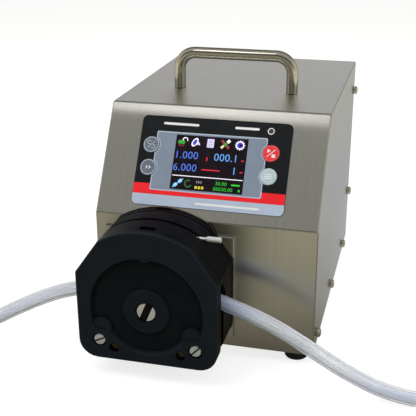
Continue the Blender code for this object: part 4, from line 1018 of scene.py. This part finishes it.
def display():
    """A generic pump screen: five symbols, readings in digits, and a status line."""
    blue = lit("lit_blue", (0.060, 0.155, 0.62))
    red = lit("lit_red", (0.62, 0.012, 0.04))
    green = lit("lit_green", (0.015, 0.48, 0.02))
    lock_green = lit("lit_lock", (0.035, 0.30, 0.03))
    yellow = lit("lit_yellow", (0.52, 0.48, 0.02))
    white = lit("lit_white", (0.80, 0.80, 0.90))
    lilac = lit("lit_lilac", (0.055, 0.045, 0.55))
    lavender = lit("lit_lavender", (0.62, 0.58, 0.84))
    brown = lit("lit_brown", (0.24, 0.035, 0.02))
    cream = lit("lit_cream", (0.80, 0.62, 0.42))
    cyan = lit("lit_cyan", (0.10, 0.31, 0.72))
    pale_blue = lit("lit_pale_blue", (0.22, 0.55, 0.92))
    dim_green = lit("lit_dim_green", (0.02, 0.10, 0.02))
    grey = lit("lit_grey", (0.25, 0.25, 0.28))

    for name, text, u, v, height, material in (
        ("reading_volume", "1.000", 0.0, 0.37, TALL, blue),
        ("reading_time", "000.1", 0.555, 0.37, TALL, cyan),
        ("reading_flow", "6.000", 0.0, 0.60, TALL, blue),
        ("reading_turns", "1", 0.82, 0.60, TALL, cyan),
        ("reading_speed", "30.00", 0.62, 0.845, SMALL, green),
        ("reading_total", "00030.00", 0.60, 0.945, SMALL, green),
    ):
        digits(name, text, u, v, height, material)

    def box_at(u, v, width, height, radius=0.0):
        """The outline of a box with its middle at (u, v) and its sizes in millimetres."""
        x, s = in_screen(u, v)
        a, b = width * MM / 2, height * MM / 2
        return rectangle(x - a, x + a, s - b, s + b, radius * MM, 3)

    def bars(u, v, step, rows):
        """Straight bars, their ends given in steps from (u, v) and their half widths in millimetres."""
        x, s = in_screen(u, v)
        for name, start, end, half, material, level in rows:
            ends = [(x + a * step, s + b * step) for a, b in (start, end)]
            screen_shape(name, [bar_between(*ends, half * MM)], material, level)

    # Plain marks stand where a unit would be.
    marks = [
        ("unit_volume", 0.46, 0.41, 1.2, 3.6, red),
        ("unit_time", 0.955, 0.40, 2.6, 1.1, red),
        ("unit_flow", 0.53, 0.61, 18, 1.1, red),
        ("unit_turns", 0.955, 0.61, 2.6, 1.1, red),
        ("unit_speed", 0.90, 0.85, 8.5, 1.6, green),
        ("unit_total", 0.955, 0.945, 1.8, 2.2, green),
    ]
    marks += [(f"mode_mark_{n + 1}", 0.36 + 0.045 * n, 0.945, 2.4, 2.6, yellow) for n in range(3)]
    marks += [(f"level_{n + 1}", 0.365 + 0.03 * n, 0.845, 0.9, 2.2, grey) for n in range(3)]
    for name, u, v, width, height, material in marks:
        screen_shape(name, [box_at(u, v, width, height)], material)
    x0, s = in_screen(0.01, 0.75)
    x1, _ = in_screen(0.99, 0.75)
    screen_shape("divider", [rectangle(x0, x1, s - 0.4 * MM, s + 0.4 * MM)], white)

    # Padlock, flow arrow, page, crossed tools and gear along the top.
    screen_shape("lock_body", [box_at(0.075, 0.125, 6.6, 3.6, 0.6)], lock_green)
    for n in range(4):
        screen_shape(f"lock_foot_{n + 1}", [box_at(0.045 + 0.022 * n, 0.188, 0.9, 1.4)], brown)
    x, s = in_screen(0.125, 0.085)
    bow = circle((x, s), 2.9 * MM, 14, -20, 200) + circle((x, s), 1.9 * MM, 14, 200, -20)
    screen_shape("lock_bow", [bow], white)

    x, s = in_screen(0.265, TOP_ROW)

    def slanted(wide, tall, lean):
        """An ellipse leaning to the right, in millimetres."""
        angles = [2 * math.pi * step / 28 for step in range(28)]
        return [
            (x + (wide * math.cos(a) + lean * math.sin(a)) * MM, s + tall * math.sin(a) * MM) for a in angles
        ]

    screen_shape("pump_ring", [slanted(3.0, 4.4, 1.5), slanted(1.9, 3.0, 1.0)], white)
    screen_shape("pump_middle", [slanted(1.7, 2.8, 0.9)], lilac)
    tail = [(x + a * MM, s + b * MM) for a, b in ((1.6, -2.2), (5.4, -2.6), (5.0, -0.8), (3.4, 0.8))]
    screen_shape("pump_tail", [tail], lavender, 1)
    screen_shape("page", [box_at(0.485, TOP_ROW, 6.8, 8.6, 0.5)], lavender)
    for n in range(4):
        screen_shape(f"page_line_{n + 1}", [box_at(0.485, 0.07 + 0.032 * n, 5.0, 0.6)], grey, 1)
    bars(0.69, TOP_ROW, 3.9 * MM, (
        ("tool_brown", (-1, 1), (1, -1), 1.3, brown, 0),
        ("tool_green", (-1, -1), (1, 1), 1.1, lock_green, 1),
        ("tool_point", (-1, -1), (-0.4, -0.4), 1.1, cream, 2),
        ("tool_tip", (0.5, 0.5), (1.1, 1.1), 1.5, white, 2),
    ))
    x, s = in_screen(0.895, TOP_ROW)
    teeth = []
    for tooth in range(12):
        for offset, radius in ((-0.30, 4.0), (-0.16, 4.9), (0.16, 4.9), (0.30, 4.0)):
            angle = 2 * math.pi * (tooth + offset) / 12
            teeth.append((x + radius * MM * math.cos(angle), s + radius * MM * math.sin(angle)))
    screen_shape("gear_teeth", [teeth, circle((x, s), 3.0 * MM, 24)], white)
    hook = circle((x, s), 3.0 * MM, 20, 20, 330) + circle((x + 0.3 * MM, s), 1.3 * MM, 16, 330, 20)
    screen_shape("gear_middle", [hook], lilac)

    # Link and progress marks at the lower left.
    bars(0.10, LOW_ROW, 1.6 * MM, (
        ("link_low", (-2.2, -2.0), (-0.6, -0.5), 1.6, pale_blue, 0),
        ("link_high", (0.5, 0.5), (2.1, 2.0), 1.6, pale_blue, 0),
        ("link_pins", (-0.6, -0.5), (0.4, 0.4), 0.5, pale_blue, 0),
        ("link_tail", (-3.0, -2.8), (-2.2, -2.0), 0.5, pale_blue, 0),
        ("link_head", (2.1, 2.0), (2.9, 2.8), 0.5, pale_blue, 0),
    ))
    centre = in_screen(0.245, LOW_ROW)
    progress = circle(centre, 4.0 * MM, 20, 60, 340) + circle(centre, 2.5 * MM, 20, 340, 60)
    screen_shape("progress", [progress], dim_green)


def key_print():
    """Rings and plain symbols on the keys, and the ring of the lamp."""
    rings = {
        "key_direction": KEY_RING,
        "key_fast": KEY_RING,
        "key_start_stop": plain_plastic("key_edge", (0.80, 0.12, 0.13), 0.4),
    }
    for node, material in rings.items():
        x, s, radius, face = key_place(node)
        outer = circle((x, s), radius - 0.5 * MM, 40)
        inner = circle((x, s), radius - 1.3 * MM, 40)
        flat_shape(f"{node}_ring", [outer, inner], face - 0.05 * MM, face + INK, PANEL, material, node)

    def symbol(node, part, outlines, material=WHITE_INK):
        face = key_place(node)[3]
        flat_shape(f"{node}_{part}", outlines, face - 0.02 * MM, face + INK, PANEL, material, node)

    def around(node, points):
        """Points given in millimetres from the middle of a key."""
        x, s, _, _ = key_place(node)
        return [(x + a * MM, s + b * MM) for a, b in points]

    slash = bar_between(*around("key_direction", ((-3.4, -3.4), (3.4, 3.4))), 0.28 * MM)
    symbol("key_direction", "slash", [slash], KEY_RING)
    for part, offset, start in (("upper", (-2.3, 2.2), 20), ("lower", (2.3, -2.2), 200)):
        centre = around("key_direction", [offset])[0]
        bend = circle(centre, 2.1 * MM, 14, start, start + 290)
        bend += circle(centre, 1.5 * MM, 14, start + 290, start)
        symbol("key_direction", part, [bend], KEY_RING)

    for part, back in (("first", -2.9), ("second", 0.2)):
        chevron = ((back, -2.2), (back + 2.9, 0), (back, 2.2), (back + 1.1, 0))
        symbol("key_fast", part, [around("key_fast", chevron)])

    slash = bar_between(*around("key_start_stop", ((-3.9, -3.6), (3.9, 3.6))), 0.35 * MM)
    symbol("key_start_stop", "slash", [slash])
    symbol("key_start_stop", "play", [around("key_start_stop", ((-3.6, 0.2), (-0.4, 2.3), (-3.6, 4.4)))])
    (x0, s0), (x1, s1) = around("key_start_stop", ((0.9, -4.2), (4.3, -0.8)))
    symbol("key_start_stop", "stop", [rectangle(x0, x1, s0, s1, 0.3 * MM, 3)])

    for number, rise in enumerate((-1.9, 0.0, 1.9), 1):
        (x0, s0), (x1, s1) = around("key_mode", ((-3.6, rise - 0.4), (3.6, rise + 0.4)))
        symbol("key_mode", f"bar_{number}", [rectangle(x0, x1, s0, s1, 0.3 * MM, 3)])

    low, high = panel_box("status_lamp")
    centre = ((low.x + high.x) / 2, (low.y + high.y) / 2)
    ring = [circle(centre, 3.3 * MM, 36), circle(centre, 2.5 * MM, 36)]
    flat_shape("lamp_ring", ring, high.z, high.z + INK, PANEL, WHITE_INK)


# ---------------------------------------------------------------------------------------------
# The scene
# ---------------------------------------------------------------------------------------------


def finish_nodes():
    """Gives each CAD node its material, and a copy with rounded edges where that shows."""
    for node, material in NODE_FINISHES.items():
        data = frame["nodes"][node].data
        data.materials.clear()
        data.materials.append(material)
    for node, (width, segments) in ROUNDED.items():
        rounded_copy(node, width, segments)


camera()
free_tubes()
studio()
floor()
lights()
finish_nodes()
handle()
feet()
cover_screws()
painted_slot_shades()
drain_bushes()
panel_print()
display()
key_print()
